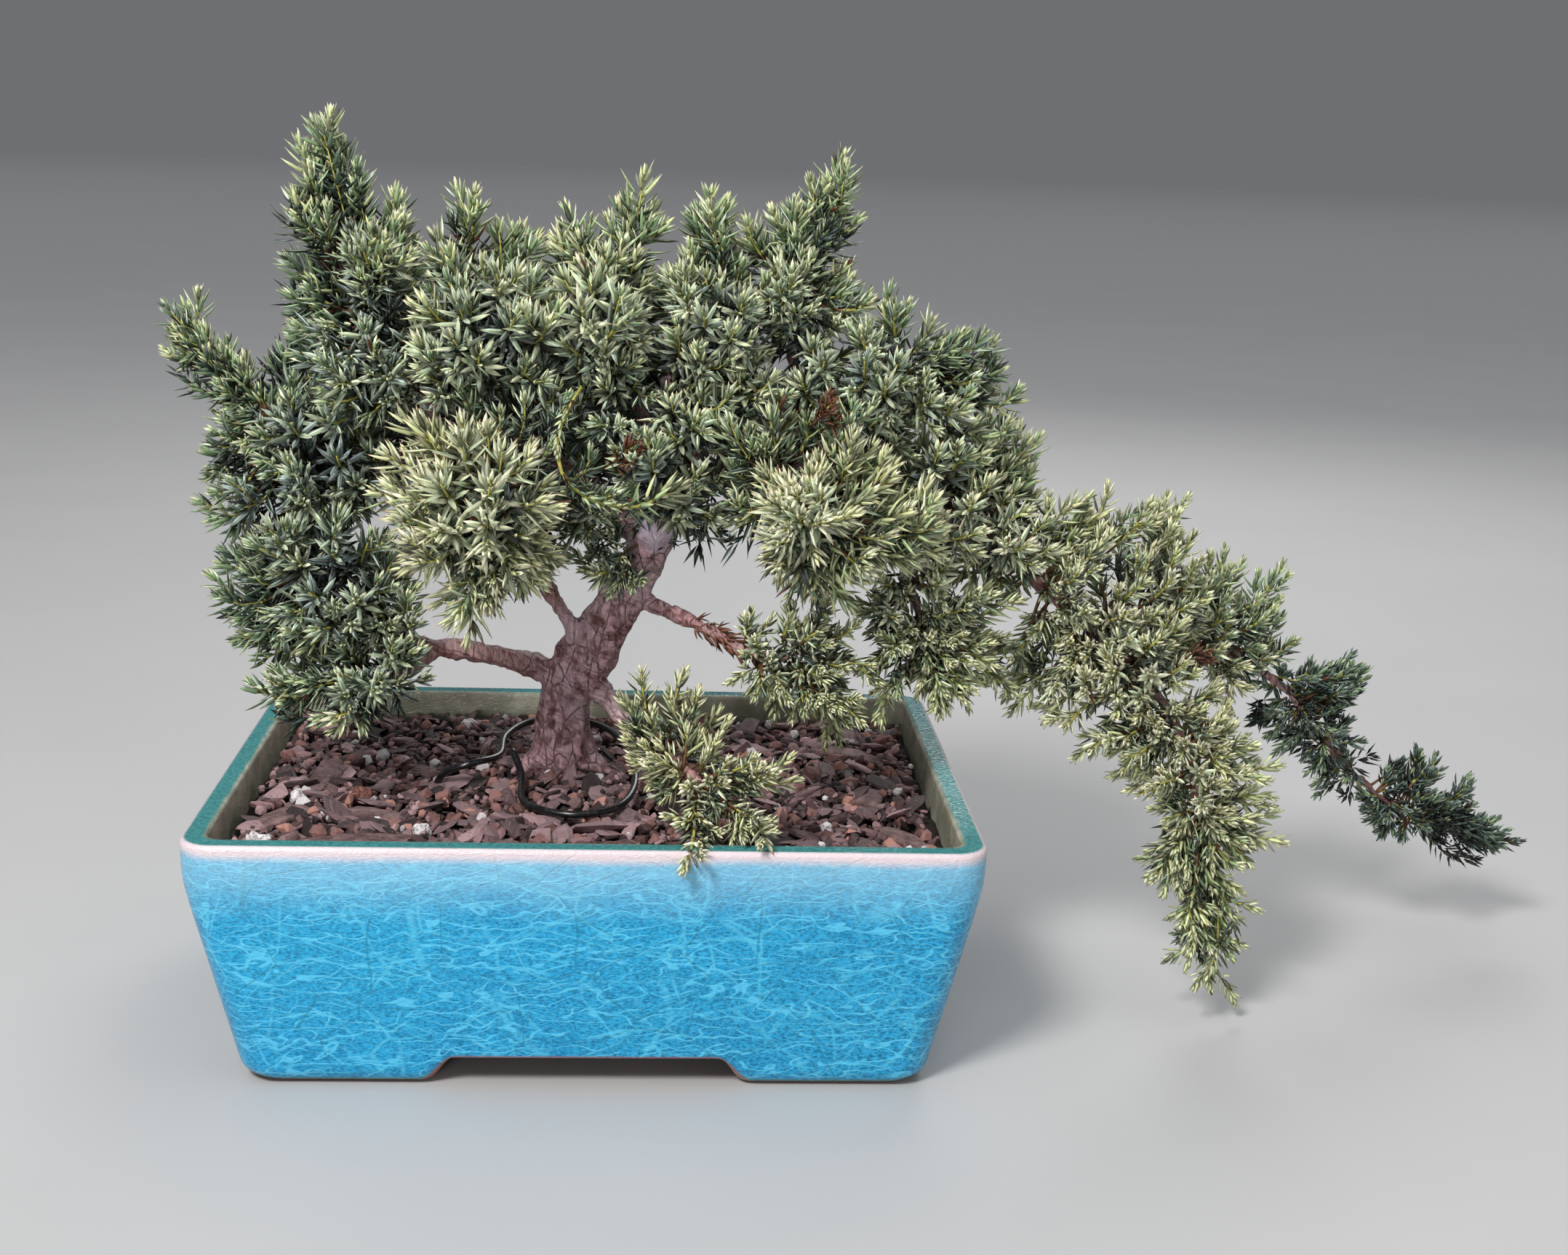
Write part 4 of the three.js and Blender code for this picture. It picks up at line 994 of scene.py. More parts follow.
# Each chart row multiplies the colour by a grey: painted shade in the low rows, painted light in the
# high ones.
tone = row / 6 * 1.16 + 0.14
grey = leaf.node("ShaderNodeCombineColor", {}, [tone, tone, tone])
needle_colour = leaf.mix(1.0, needle_colour, grey, "MULTIPLY")
stem_colour = leaf.mix(column.math("GREATER_THAN", 0.5), hue(96, 66, 46), hue(176, 176, 84))
stem_colour = leaf.mix(in_y * 0.5, stem_colour, hue(120, 92, 60))
is_stem = row.math("GREATER_THAN", 6.5)
leaf_material = leaf.finish(Base_Color=leaf.mix(is_stem, needle_colour, stem_colour),
                            Roughness=0.42 + band * 0.22)
print("chart of", CELLS, "by", CELLS, "cells")

# %% [markdown]
# ## Growing the pads
#
# Each pad becomes one mesh of its main shoots, their side shoots, and some plain shoots deep
# inside, darker in colour and given painted shade, which close the gaps. It takes the CAD lump's
# place.


# %% Grow every pad
SIDE_SHOOTS, DEEP_SHARE = 1.25, 0.75


def grow(name, rng):
    needle, spacing, tint, rise, fuller = GROWTH[name[len("foliage_"):]]
    tips, way, roots = tips_of(name, spacing, rise, fuller, rng)
    path, span = curves(roots, tips, way)
    leafy = np.minimum(rng.uniform(17, 25, len(tips)) * (0.5 + needle / 11), span * 0.92)
    side, side_span = side_shoots(path, span, tips, way, SIDE_SHOOTS, rng)
    deep = rng.random(len(tips)) < DEEP_SHARE
    inner_tips = tips[deep] - way[deep] * rng.uniform(6, 15, (deep.sum(), 1))
    inner_tips = inner_tips + rng.normal(0, 2.0, inner_tips.shape)
    inner, inner_span = curves(roots[deep], inner_tips, unit(
        way[deep] + 0.6 * rng.normal(size=inner_tips.shape)))
    parts = [
        clothe(path, span, leafy, needle, tint, rng),
        clothe(side, side_span, side_span * 0.95, needle * 0.86, tint + 0.15, rng),
        clothe(inner, inner_span, np.minimum(14, inner_span * 0.8), needle, tint - 2.0, rng, True,
               inside_shade=2.2),
        stems(path, rng.uniform(0.45, 0.75, len(path)), 6, np.zeros(len(path))),
        stems(side, np.full(len(side), 0.32), 3, np.ones(len(side)))]
    points, faces, uv = gather(parts)
    build(name.replace("foliage_", "needles_"), points, faces, leaf_material, [name], uv)
    return len(tips), len(side), len(faces)


grown = np.array([grow(name, np.random.default_rng(100 + k)) for k, name in enumerate(pads)])
print("shoots", grown[:, 0].sum(), "side shoots", grown[:, 1].sum(), "triangles",
      grown[:, 2].sum(), "most in a pad", grown[:, 2].max())

# %% [markdown]
# A few odd shoots break the pattern, as on any old juniper: one that curls forward in the crown
# with leaves like scales, the fresh tuft at its end, a few withered twigs between the pads, and
# withered needles, red-brown, on the right limb.

# %% Add the odd shoots
CURL = np.array([[(-4.0, -31, 176), (-7, -35, 172), (-10, -39, 166), (-9.5, -41, 160)],
                 [(-9.5, -41, 160), (-9, -42, 153), (-2, -42, 147), (8, -39, 147)]])
TUFT = np.array([[(6.0, -38, 147), (10, -40, 146), (14, -38, 148), (21, -37, 152)]])
WITHERED = np.array([  # where each withered twig starts and ends
    ((56.0, -20, 166), (62, -28, 173)), ((4, -30, 157), (11, -40, 160)),
    ((160, -4, 100), (167, -9, 103))])
LIMB_LOW, LIMB_HIGH, LIMB_NEEDLES = (26, -24, 92), (44, 0, 118), 90
TWIGS, DEAD_COLUMN = 4, 7.0  # twigs at each withered place, and the chart's column of the dead
odd = np.random.default_rng(5)
count = TWIGS * len(WITHERED)
start = np.repeat(WITHERED[:, 0], TWIGS, 0) + odd.normal(0, 1.2, (count, 3))
end = np.repeat(WITHERED[:, 1], TWIGS, 0) + odd.normal(0, 2.2, (count, 3))
withered, withered_span = curves(start, end, unit(end - start))
limb = wood_points[((wood_points > LIMB_LOW) & (wood_points < LIMB_HIGH)).all(1)]
limb = limb[odd.permutation(len(limb))[:LIMB_NEEDLES]]
middle = np.array([limb[np.abs(limb[:, 0] - p[0]) < 2.5].mean(0) for p in limb])
limb_out, limb_way = unit(limb - middle), unit(np.array([1.0, 0.0, -0.8]))
limb_axis = unit(0.8 * limb_out + limb_way + 0.3 * odd.normal(size=limb.shape))
limb_up = unit(limb_way - (limb_axis @ limb_way)[:, None] * limb_axis)
count = len(limb)
odd_points, odd_faces, odd_uv = gather([
    needles(limb - 0.6 * limb_out, limb_axis, limb_up, odd.uniform(3.0, 5.5, count),
            odd.uniform(0.8, 1.2, count), np.full(count, DEAD_COLUMN), odd.integers(3, 7, count)),
    clothe(CURL, np.array([18.0, 24.0]), np.array([19.0, 24.0]), 3.2, 3.8, odd),
    clothe(TUFT, np.array([18.0]), np.array([18.0]), 7.2, 5.0, odd),
    clothe(withered, withered_span, withered_span * 0.8, 4.6, 1.0, odd, withered=0.9),
    stems(CURL, np.full(2, 0.55), 6, np.ones(2)), stems(TUFT, np.array([0.7]), 6, np.ones(1)),
    stems(withered, np.full(len(start), 0.5), 5, np.zeros(len(start)))])
build("needles_odd_shoots", odd_points, odd_faces, leaf_material, (), odd_uv)
print("odd shoots", len(start) + 3, "with", len(odd_faces), "triangles")

# %% [markdown]
# ## The trunk
#
# A juniper's bark is thin, purplish brown and a little glossy, with a grey bloom. Its pale sheen
# on the upper trunk and along the fibres is painted highlight, its creases are painted shade, and
# it turns darker towards the soil. It folds at the forks, and knots stand out where twigs were
# cut. The CAD trunk has flat sides, so a copy of it is remeshed evenly and smoothed. Then each
# point moves along its normal by noise at four sizes, and the knots and the pruned scar are pushed
# out or in around their places.


# %% Give the trunk its bark
def remeshed(name, voxel, smoothing):
    """A copy of a CAD node with its doubles merged, remade as even quads, and smoothed."""
    copy = in_scene(name + "_copy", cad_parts[name].data.copy())
    weld = copy.modifiers.new("weld", "WELD")
    weld.merge_threshold = 1e-5
    remesh = copy.modifiers.new("remesh", "REMESH")
    remesh.mode, remesh.voxel_size = "VOXEL", voxel
    smooth = copy.modifiers.new("smooth", "SMOOTH")
    smooth.factor, smooth.iterations = 0.5, smoothing
    graph = bpy.context.evaluated_depsgraph_get()
    made = bpy.data.meshes.new_from_object(copy.evaluated_get(graph))
    bpy.data.objects.remove(copy)
    return made


def mesh_arrays(mesh):
    """A mesh's points in millimetres about the pot's middle, its normals, and its quads."""
    points, normals = np.empty((2, len(mesh.vertices) * 3), np.float32)
    mesh.vertices.foreach_get("co", points)
    mesh.vertex_normals.foreach_get("vector", normals)
    corners = np.empty(len(mesh.loops), np.int32)
    mesh.loops.foreach_get("vertex_index", corners)
    return ((points.reshape(-1, 3) - pot_middle) / MM, normals.reshape(-1, 3),
            corners.reshape(-1, 4))


KNOTS = [  # place, radius and height of each knot; a negative height is a hollow
    ((3.5, -3.6, 108.0), 3.0, 1.6), ((3.5, -4.4, 108.0), 1.2, -1.5),
    ((4.0, 1.5, 96.0), 3.6, 1.3), ((4.0, 0.5, 95.5), 1.7, -2.4),
    ((-9.5, 3.5, 99.0), 4.0, 1.4), ((-8.5, 2.5, 96.0), 1.8, -1.6),
    ((-11.3, 2.5, 77.0), 3.0, 1.3), ((-11.3, 1.5, 77.0), 1.1, -1.1),
    ((16.0, -9.0, 135.0), 6.0, 1.2), ((-2.0, -0.4, 88.0), 5.0, 0.9), ((-8.0, 3.0, 66.0), 6.0, 1.4),
    ((-18.0, 6.0, 64.0), 5.0, 1.6), ((3.0, 6.0, 64.0), 5.0, 1.5),
]


def bark_height(points):
    """Noise at 5.5, 2.2 and 0.9 mm, drawn out along the trunk's lean, and at 1.9 mm, a flare at the
    soil, and each knot as a bell curve of its distance."""
    lean_way = unit(np.array([0.45, 0.0, 0.89]))
    along = points @ lean_way
    squeezed = points - 0.72 * along[:, None] * lean_way
    height = 0.70 * value_noise(squeezed, 5.5, 1) + 0.50 * value_noise(squeezed, 2.2, 2)
    height = height + 0.18 * value_noise(squeezed, 0.9, 3) + 0.32 * value_noise(points, 1.9, 4)
    flared = np.clip((70 - points[:, 2]) / 8, 0, 1) * (points[:, 2] > 50)
    height = height + flared * (0.8 + 1.1 * value_noise(points, 2.6, 5))
    for place, radius, swell_by in KNOTS:
        distance = np.linalg.norm(points - np.array(place), axis=1) / radius
        height = height + swell_by * np.exp(-distance**2 * 1.6)
    return height


trunk_points, trunk_normals, trunk_quads = mesh_arrays(remeshed("trunk", 0.75 * MM, 5))
bark = bark_height(trunk_points)
print("trunk", len(trunk_quads), "quads, bark from", bark.min().round(2), "to", bark.max().round(2))

# %% Mix the bark
bark_shader = Shader("juniper_bark", IOR=1.45)
at = bark_shader.place()
TRUNK_TURN = (0, radians(-27), 0)
broad = bark_shader.noise(at, 0.07, 4.0)
patch = bark_shader.noise(at, 0.28, 4.0, 0.65, 0.6)
fibre = bark_shader.noise(bark_shader.mapped(at, (1, 1, 0.22), TRUNK_TURN), 1.1, 5.0, 0.65)
fleck = bark_shader.noise(at, 2.6, 3.0, 0.7)
bx, by, bz = bark_shader.split(at)
wrinkle = waves(bark_shader, at, 1.9, TRUNK_TURN, 6.0, 0.15, 5.0)
crease = lines(bark_shader, at, 0.22, (1.0, 1.0, 0.34), TRUNK_TURN, 0.05, 6.0, 13.0)
crease = crease * patch.step(0.40, 0.58)
away_from_base = length(bx - (bz - 63) * 0.35 + 8, by - 10)
limb_red = bark_shader.mix(fibre.step(0.35, 0.6), hue(98, 56, 50), hue(172, 122, 112))
scar = 1 - length(length(bx - 16, bz - 135), by + 9).step(4.5, 7.5)
# Darker towards the soil, below about 66 to 82 mm.
near_soil = 1 - (bz + patch * 10).step(66.0, 82.0)
bark_colour = bark_shader.layers(
    bark_shader.mix(patch.step(0.34, 0.64), hue(104, 62, 62), hue(208, 168, 176)),
    # Painted highlight: pale patches on the upper trunk only, standing for its sheen.
    (broad.step(0.42, 0.62) * bz.step(70.0, 84.0) * 0.75, hue(206, 182, 190)),
    ((1 - fibre.step(0.28, 0.46)) * 0.55, hue(46, 24, 24)),
    # Painted highlight along the pale fibres.
    (fibre.step(0.52, 0.68) * 0.5, hue(232, 206, 210)),
    # The dark wrinkles, and the creases on the next line, are painted shade in the bark's folds and
    # cracks.
    (fleck.step(0.62, 0.72) * 0.45, hue(214, 178, 162)), (wrinkle * 0.25, hue(70, 42, 42)),
    (crease * 0.7, hue(36, 20, 20)), (away_from_base.step(14.0, 30.0) * 0.6, limb_red),
    (scar * (0.5 + patch.step(0.35, 0.6) * 0.5), hue(206, 192, 208)), (near_soil * 0.4, hue(44, 26, 24)))
rough_bark = fibre * 0.45 + fleck * 0.3 + patch * 0.6 - wrinkle * 0.3 - crease * 0.6
bark_material = bark_shader.finish(
    Base_Color=bark_colour, Roughness=0.28 + fleck * 0.22,
    Normal=bark_shader.bump(rough_bark, 0.8 * MM, 1.0))
trunk_points = trunk_points + trunk_normals * bark[:, None]
build("bark_trunk", trunk_points, trunk_quads, bark_material, ["trunk"])
print("trunk reaches", trunk_points.max(0).round(), "mm")

# %% [markdown]
# ## The soil
#
# The mix is crushed bark, red lava and a little white perlite. Underneath is a dark bed with a
# rolling top that mounds up to the trunk; its darkness is partly the soil's own and partly painted
# shade in the gaps. On it lie thousands of loose grains. Each is an octahedron whose faces were
# split once, so it has 32 faces, and is then stretched, turned and roughened. Bark comes as slivers
# and flat chips, lava as lumps.


# %% Lay the bed
MOUND_HEIGHT, MOUND_SPREAD, TRUNK_X, TRUNK_Y, SOIL_EDGE = 3, 30, -9, 12, 60
BED_GAP, BED_SINK, BED_ROLL = 0.3, 2.8, 0.9


def soil_height(x, y):
    """Level, plus a bell-shaped mound of 3 mm around the trunk."""
    distance = np.hypot(x - TRUNK_X, y - TRUNK_Y)
    return SOIL_EDGE + MOUND_HEIGHT * np.exp(-((distance / MOUND_SPREAD) ** 2))


def capped(rows, columns):
    """Triangles of a grid closed round its columns, whose first and last points are its poles."""
    k = np.arange(columns)
    first = np.stack([np.zeros(columns, int), (k + 1) % columns + 1, k + 1], -1)
    start = 1 + (rows - 1) * columns
    last = np.stack([np.full(columns, 1 + rows * columns), start + k, start + (k + 1) % columns], -1)
    return np.concatenate([first, halves(grid_faces(rows, columns) + 1), last])


bed_shares, bed_facing = outline(110, 80, 5)
bed_low = FLOOR_TOP + BED_GAP
top_edge, floor_edge = (
    rounded(bed_shares, bed_facing, lean(z) + RIM_WALL + BED_GAP, INNER_CORNER)
    for z in (SOIL_EDGE, bed_low))
bed_flat = np.linspace(0.015, 1, 56)[:, None, None] * top_edge[None]
rolling = fractal(np.dstack([bed_flat, 0 * bed_flat[..., :1]]), 7, 3, 9)
bed_top = soil_height(bed_flat[..., 0], bed_flat[..., 1]) + BED_ROLL * rolling - BED_SINK
bed = np.concatenate([
    np.dstack([bed_flat, bed_top]),
    np.dstack([floor_edge[None], np.full((1, len(floor_edge), 1), bed_low)])])
bed_points = np.vstack([[0, 0, bed_top[0].mean()], bed.reshape(-1, 3), [0, 0, bed_low]])
bed_faces = capped(len(bed), len(bed_shares))[:, ::-1]
print("bed", len(bed_faces), "triangles")


# %% Make the loose grains
def split_octahedron():
    """An octahedron's points and faces with each edge halved, on the unit sphere."""
    corners = np.array([(1, 0, 0), (-1, 0, 0), (0, 1, 0), (0, -1, 0), (0, 0, 1), (0, 0, -1)], float)
    faces = [(a, b, c) for a in (0, 1) for b in (2, 3) for c in (4, 5)]
    points, made = list(corners), []
    for a, b, c in faces:
        if np.dot(np.cross(corners[a], corners[b]), corners[c]) < 0:
            b, c = c, b
        middles = []
        for one, other in ((a, b), (b, c), (c, a)):
            middle = unit(corners[one] + corners[other])
            near = [k for k, p in enumerate(points) if np.allclose(p, middle)]
            if not near:
                points.append(middle)
            middles.append(near[0] if near else len(points) - 1)
        ab, bc, ca = middles
        made += [(a, ab, ca), (ab, b, bc), (ca, bc, c), (ab, bc, ca)]
    return np.array(points), np.array(made)


BALL, BALL_FACES = split_octahedron()
BALL_UV = 0.5 + 0.33 * np.stack([BALL[:, 0] + 0.37 * BALL[:, 1], BALL[:, 2] - 0.29 * BALL[:, 1]], -1)


def turned_about(count, tilt, rng):
    """Random turns: any heading about Z, then a lean of about `tilt` radians. (count, 3, 3)"""
    heading, lean_by, roll = rng.uniform(0, 2 * pi, count), *rng.normal(0, tilt, (2, count))
    z, o = np.zeros(count), np.ones(count)
    c, s = np.cos, np.sin

    def matrix(*rows):
        return np.stack([np.stack(row, -1) for row in rows], -2)

    about_z = matrix((c(heading), -s(heading), z), (s(heading), c(heading), z), (z, z, o))
    about_x = matrix((o, z, z), (z, c(lean_by), -s(lean_by)), (z, s(lean_by), c(lean_by)))
    about_y = matrix((c(roll), z, s(roll)), (z, o, z), (-s(roll), z, c(roll)))
    return about_z @ about_x @ about_y


large_names = sorted(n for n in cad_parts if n.startswith(("bark_chip", "perlite", "lava")))
large_boxes = np.array([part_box(name) for name in large_names])[..., :2]
LARGE_MIDDLE = (large_boxes.mean(1) - pot_middle[:2]) / MM
LARGE_SIZE = (large_boxes[:, 1] - large_boxes[:, 0]) / MM
LARGE_COVERS, PUSHED_DOWN = 0.42, 3.5  # the share of a piece's size, and how far, in mm


def grains(count, sizes, tilt, sink, column, rng):
    """Loose grains: random places inside the pot, lying on the soil, and pushed down where a large
    piece lies. `sizes` holds the mean half length, half width and half height in mm. Those that
    lie lower get darker chart rows, as painted shade."""
    spread = np.exp(rng.normal(0, 0.28, (count, 1)))
    half = np.array(sizes) * spread * rng.normal(1, 0.16, (count, 3))
    half = np.clip(half, 0.3, None)
    reach = np.array([POT_LENGTH / 2 - RIM_WALL - 1.0, POT_DEPTH / 2 - RIM_WALL - 1.0])
    flat = rng.uniform(-1, 1, (count, 2)) * (reach - half[:, :1] * 0.9 - 0.4)
    above = rng.uniform(*sink, count)
    height = soil_height(flat[:, 0], flat[:, 1]) + above
    covers = (np.abs(flat[:, None] - LARGE_MIDDLE) < LARGE_COVERS * LARGE_SIZE).all(-1).any(1)
    height = np.where(covers, height - PUSHED_DOWN, height)
    corner = np.sign(BALL) * np.abs(BALL) ** 0.75
    rough = rng.normal(1, 0.13, (count, len(BALL), 1))
    shape = corner[None] * rough * half[:, None]
    shape = np.einsum("nij,nkj->nki", turned_about(count, tilt, rng), shape)
    points = shape + np.column_stack([flat, height])[:, None]
    faces = BALL_FACES[None] + np.arange(count)[:, None, None] * len(BALL)
    raised = (above - sink[0]) / (sink[1] - sink[0])
    # Painted shade: the lower a grain lies, the darker its chart row, with a random spread.
    shade = np.clip(np.round(4.4 * raised + rng.normal(0, 1.7, count)), 0, 7)
    cell = np.stack([np.full(count, column), shade], -1)
    uv = (cell[:, None, None] + BALL_UV[BALL_FACES][None]) / CELLS
    return points.reshape(-1, 3), faces.reshape(-1, 3), uv.reshape(-1, 2)


grit_rng = np.random.default_rng(7)
loose_points, loose_faces, loose_uv = gather([
    grains(2500, (2.1, 0.9, 0.6), 0.55, (-1.8, 1.0), 0, grit_rng),
    grains(560, (4.4, 2.3, 0.7), 0.36, (-1.0, 1.3), 1, grit_rng),
    grains(1150, (1.7, 1.4, 1.2), 0.8, (-1.8, 0.9), 2, grit_rng),
    grains(1250, (1.1, 0.9, 0.8), 0.8, (-1.0, 1.3), 3, grit_rng),
    grains(110, (1.3, 1.1, 1.0), 0.8, (0.0, 1.4), 4, grit_rng)])
print("grains", len(loose_points) // len(BALL), "with", len(loose_faces), "triangles")

# %% [markdown]
# The grains' material reads its own chart, as the needles do: a column for each kind and a row for
# each step of painted shade, which mixes more of the kind's dark colour into lower grains. Fine
# noise in the chart roughens the colour. Bark is purplish brown to nearly black, lava is brick red
# to orange brown, and perlite is white with small pits painted dark as shade.

# %% Mix the soil's finishes
grit = Shader("bark_and_lava", IOR=1.45)
grit_uv, kind, shade_row, _, _ = read_chart(grit)
speck = grit.noise(grit_uv, 120.0, 4.0, 0.7)
streak = grit.noise(grit.mapped(grit_uv, (0.35, 1.6, 1)), 150.0, 3.0, 0.65)
# Each kind's dark and light colour, mixed by the chart row as painted shade and by fine speckle as
# its own mottling.
dark_kind = chart_colour(grit, kind, [
    (22, 12, 12), (28, 17, 18), (40, 24, 24), (18, 10, 11), (176, 170, 172)])
light_kind = chart_colour(grit, kind, [
    (146, 112, 114), (166, 136, 140), (156, 112, 106), (180, 146, 148), (236, 232, 232)])
orange = kind.math("COMPARE", 2.0, 0.1) * shade_row.math("GREATER_THAN", 5.5) * 0.4
# Painted shade in the perlite's pits.
pits = kind.math("COMPARE", 4.0, 0.1) * (1 - grit.cells(grit_uv, 150.0).step(0.18, 0.30))
grit_colour = grit.layers(
    dark_kind, ((shade_row / 7 * 0.75 + speck * 0.7 - 0.25).step(0.0, 1.0), light_kind),
    ((1 - streak.step(0.30, 0.5)) * 0.5 * kind.below(1.5), hue(28, 17, 17)),
    (orange, hue(190, 140, 122)), (pits * 0.8, hue(70, 56, 58)))
grit_material = grit.finish(Base_Color=grit_colour, Roughness=0.62 + speck * 0.25)
build("loose_mix", loose_points, loose_faces, grit_material, (), loose_uv, smooth=False)

bed_shader = Shader("dark_soil_and_gap_shade", IOR=1.4)
bed_at = bed_shader.place()
crumb, wet = bed_shader.noise(bed_at, 0.9, 5.0, 0.7), bed_shader.noise(bed_at, 0.12, 3.0)
# The bed's near-black is partly the soil's own dark colour and partly painted shade in the gaps
# between the grains.
bed_colour = bed_shader.mix(crumb.step(0.35, 0.7), hue(16, 9, 9), hue(44, 28, 26))
bed_material = bed_shader.finish(
    Base_Color=bed_colour, Roughness=0.6 + wet * 0.3,
    Normal=bed_shader.bump(crumb, 0.8 * MM, 0.9))
build("soil_bed", bed_points, bed_faces, bed_material, ["soil"])

# %% [markdown]
# ## The large pieces on top
#
# The biggest bark chips, perlite and lava are pieces of their own. Each CAD solid gives its place,
# its three half sizes and its three directions, found from how its surface spreads. A ball is
# stretched to them. Its radius follows layered noise: ridges along a bark chip's grain, pits in
# perlite and lava.


# %% Shape the large pieces
def spread_of(name):
    """A CAD node's middle, its three axes, longest first, and its half sizes along them."""
    corners = triangles_of(name).reshape(-1, 3)
    middle = (corners.min(0) + corners.max(0)) / 2
    _, _, axes = np.linalg.svd(corners - corners.mean(0), full_matrices=False)
    along = (corners - middle) @ axes.T
    half = (along.max(0) - along.min(0)) / 2
    middle = middle + ((along.max(0) + along.min(0)) / 2) @ axes
    if np.linalg.det(axes) < 0:
        axes[2] = -axes[2]
    return middle, axes, half


def ball_grid(rows, columns):
    """Directions on a sphere: two poles, and rows of latitude between them."""
    height = np.linspace(0, pi, rows + 2)[1:-1, None]
    turn = np.linspace(0, 2 * pi, columns, endpoint=False)[None]
    ring = np.stack(np.broadcast_arrays(
        np.cos(height), np.sin(height) * np.cos(turn), np.sin(height) * np.sin(turn)), -1)
    faces = capped(rows, columns)[:, ::-1]
    return np.vstack([[1, 0, 0], ring.reshape(-1, 3), [-1, 0, 0]]), faces


def superball(direction, power):
    """A rounded box: directions on a sphere, scaled so that the sum of |x|^power is 1."""
    norm = (np.abs(direction) ** power).sum(1) ** (1 / power)
    return direction / norm[:, None]


def big_piece(name, slot, material, power, relief, seed):
    middle, axes, half = spread_of(name)
    direction, faces = ball_grid(30, 44)
    local = superball(direction, power) * half
    grow_by = relief(local, seed)
    local = local * (1 + grow_by[:, None] / half.max() * [0.6, 1.0, 1.0]) * 0.97
    local[:, 2] += grow_by * 0.55 * np.sign(local[:, 2])
    points = middle + local @ axes
    build(name.replace("_", "-"), points, faces, material, [name])


def bark_relief(local, seed):
    """Ridges along the chip's length, and broad dents."""
    stretched = local * [0.25, 1.0, 1.0]
    return 0.55 * value_noise(stretched, 1.3, seed) + 1.0 * fractal(local, 6, 2, seed + 5)


def pitted_relief(local, seed):
    """Lumps, with the lowest of a fine noise cut into pits."""
    pit = np.clip(-value_noise(local, 1.1, seed + 3) - 0.25, 0, 1)
    return 0.8 * fractal(local, 2.4, 2, seed) - 1.1 * pit


def rock_material(name, dark, middle_tone, light, scale, rough, pit_depth):
    """Three tones by noise at the grain's size, pits painted dark as shade, and a bump from both."""
    rock = Shader(name, IOR=1.45)
    at = rock.place()
    tone, fine = rock.noise(at, scale, 5.0, 0.65), rock.noise(at, scale * 5, 3.0, 0.7)
    # Painted shade in the pits.
    pit = 1 - rock.cells(rock.shift(at, rock.noise(at, 1.2, colour=True), 0.8), 1.1).step(0.2, 0.42)
    colour = rock.layers(
        hue(*dark), (tone.step(0.3, 0.5), hue(*middle_tone)), (tone.step(0.5, 0.72), hue(*light)),
        (fine.step(0.55, 0.75) * 0.4, hue(*light)), (pit * pit_depth, hue(*dark)))
    return rock.finish(Base_Color=colour, Roughness=rough + fine * 0.2, Normal=rock.bump(
        tone + fine * 0.5 - pit * pit_depth, 0.4 * MM, 0.8))


def chip_material():
    """Bark chips: long grain lines bent by noise, grey-purple on the ridges, dark in the grooves,
    partly the bark's own colour and partly painted shade.
    """
    chip = Shader("bark_chips", IOR=1.4)
    at = chip.place()
    bent = chip.shift(at, chip.noise(at, 0.15, 2.0, colour=True), 5.0)
    grain_at = chip.mapped(bent, (0.3, 2.2, 1.2), (0, 0, 0.25))
    grain_line, tone = chip.noise(grain_at, 0.8, 5.0, 0.7), chip.noise(at, 0.25, 4.0, 0.6)
    colour = chip.layers(
        hue(82, 60, 60), (tone.step(0.3, 0.7), hue(142, 114, 114)),
        # The dark in the grooves is partly the bark's own colour and partly painted shade.
        ((1 - grain_line.step(0.32, 0.50)) * 0.8, hue(38, 25, 25)),
        (grain_line.step(0.56, 0.74) * 0.7, hue(190, 162, 162)))
    return chip.finish(Base_Color=colour, Roughness=0.5 + grain_line * 0.3,
                       Normal=chip.bump(grain_line, 0.7 * MM, 0.9))


chips = chip_material()
perlite = rock_material("perlite", (120, 108, 112), (226, 220, 222), (246, 243, 242), 0.9, 0.6, 0.55)
lava = rock_material("lava", (58, 32, 29), (124, 78, 68), (172, 122, 108), 0.8, 0.6, 0.7)
KINDS = {"bark_chip": ("bark_chip", chips, 3.2, bark_relief),
         "perlite_grain": ("perlite", perlite, 2.2, pitted_relief),
         "lava_grain": ("lava", lava, 2.4, pitted_relief)}
for seed, name in enumerate(sorted(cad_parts)):
    kind_name = name.rsplit("_", 1)[0]
    if kind_name in KINDS:
        big_piece(name, *KINDS[kind_name], seed)
print("large pieces", len(large_names))

# %% [markdown]
# ## The anchor wire
#
# A black wire, two millimetres thick, holds the root ball. It comes up through the drain screens,
# lies over the roots and loops loosely round the trunk, and its runs under the pot join the two
# holes. It is a tube along one smooth curve through chosen points. The short dead twig that lies
# on the soil is made in the same way, with small bumps where its leaves were.


# %% Run the wire
WIRE_FROM = SOIL_EDGE + MOUND_HEIGHT  # the route's heights start at the mound's top
UNDER = 8.7 - WIRE_FROM
WIRE_ROUTE = [
    (-23, -4, 9), (-20, -11, 4), (-19, -22, 0.5), (-13, -31, 0.5), (-3, -34, 0.5), (7, -28, 1),
    (11, -14, 3), (9, 4, 6), (3, 20, 8), (-9, 27, 9), (-20, 23, 9), (-26, 12, 8), (-27, 0, 6),
    (-34, -8, 6), (-42, -6, 2), (-45, 0, -8), (-45, 0, -20), (-45, 0, -47), (-44, 0, -52),
    (-39, 0, UNDER), (-15, 0, UNDER), (15, 0, UNDER), (39, 0, UNDER), (44, 0, -52), (45, 0, -47),
    (45, 0, -20), (45, 0, -8), (40, 1, 1), (28, 4, 4), (19, 8, 3)]
TWIG = [(17, -8, 1.2), (24, -14, 0.9), (33, -17, 0.7), (42, -24, 0.4)]


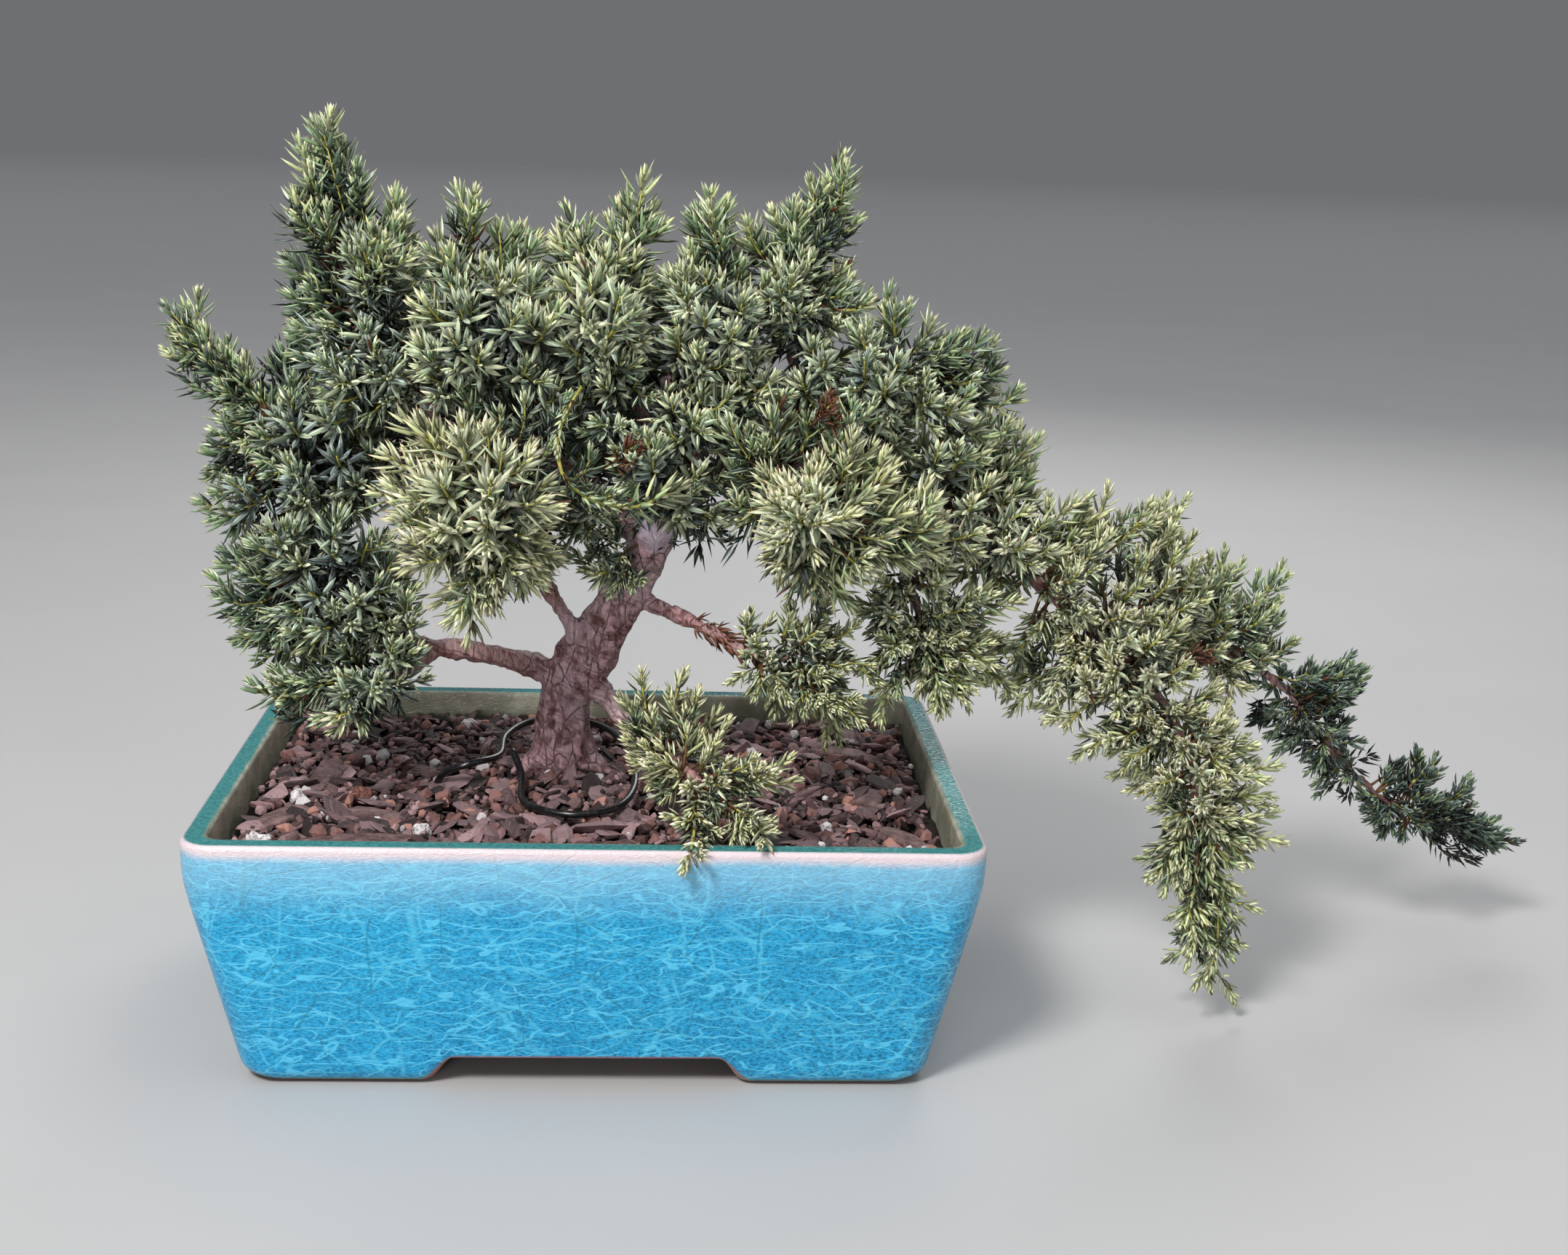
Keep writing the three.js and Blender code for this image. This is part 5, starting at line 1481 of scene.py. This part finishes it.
def capped_tube(route, steps, radius, sides):
    """A closed tube along a smooth curve. The radius may follow the way along, from 0 to 1."""
    path = smooth_path(np.array(route, float) + [0, 0, WIRE_FROM], steps)
    rings = tube(path, radius(np.linspace(0, 1, steps)), sides)
    points = np.vstack([path[0], rings.reshape(-1, 3), path[-1]])
    return points, capped(steps, sides), path


def twig_radius(t):
    """Thins from 1.2 to 0.5 mm, with twelve small swellings."""
    return 1.2 - 0.7 * t + 0.22 * np.maximum(np.sin(t * 24 * pi), 0)


wire_points, wire_faces, wire_path = capped_tube(
    WIRE_ROUTE, 520, lambda t: np.where((t > 0.002) & (t < 0.998), 1.0, 0.7), 12)
wire = Shader("black_wire", Metallic=0.0, IOR=1.5)
wire_at = wire.place()
scuff = wire.noise(wire_at, 0.6, 4.0, 0.7)
wire_material = wire.finish(
    Base_Color=wire.mix(scuff.step(0.5, 0.8), hue(16, 16, 19), hue(52, 52, 58)),
    Roughness=0.16 + scuff * 0.22, Normal=wire.bump(scuff, 0.08 * MM, 0.5))
build("anchor_wire_tube", wire_points, wire_faces, wire_material, ["anchor_wire"])
twig_points, twig_faces, _ = capped_tube(TWIG, 90, twig_radius, 8)
twig_bends = np.stack([value_noise(twig_points, 2.0, seed) for seed in (5, 6, 7)], -1)
build("dead-twig", twig_points + 0.25 * twig_bends, twig_faces, bark_material,
      ["dead_twig"])
steps_along = np.linalg.norm(np.diff(wire_path, axis=0), axis=1)
print("wire", round(float(steps_along.sum())), "mm long")

# %% [markdown]
# ## The drain screens
#
# Two squares of black plastic mesh lie over the drain holes. Their CAD shape is right, so they
# stay, with a faintly scratched finish.

# %% Finish the screens
screen = Shader("screen_plastic", IOR=1.45)
screen_at = screen.place()
scratch = screen.noise(screen_at, 0.8, 5.0, 0.7)
screen_material = screen.finish(
    Base_Color=screen.mix(scratch, hue(18, 22, 20), hue(42, 48, 44)), Roughness=0.4 + scratch * 0.3,
    Normal=screen.bump(scratch, 0.1 * MM, 0.5))
for name in ("drainage_screen_left", "drainage_screen_right"):
    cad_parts[name].material_slots[0].material = screen_material
print("screens finished")
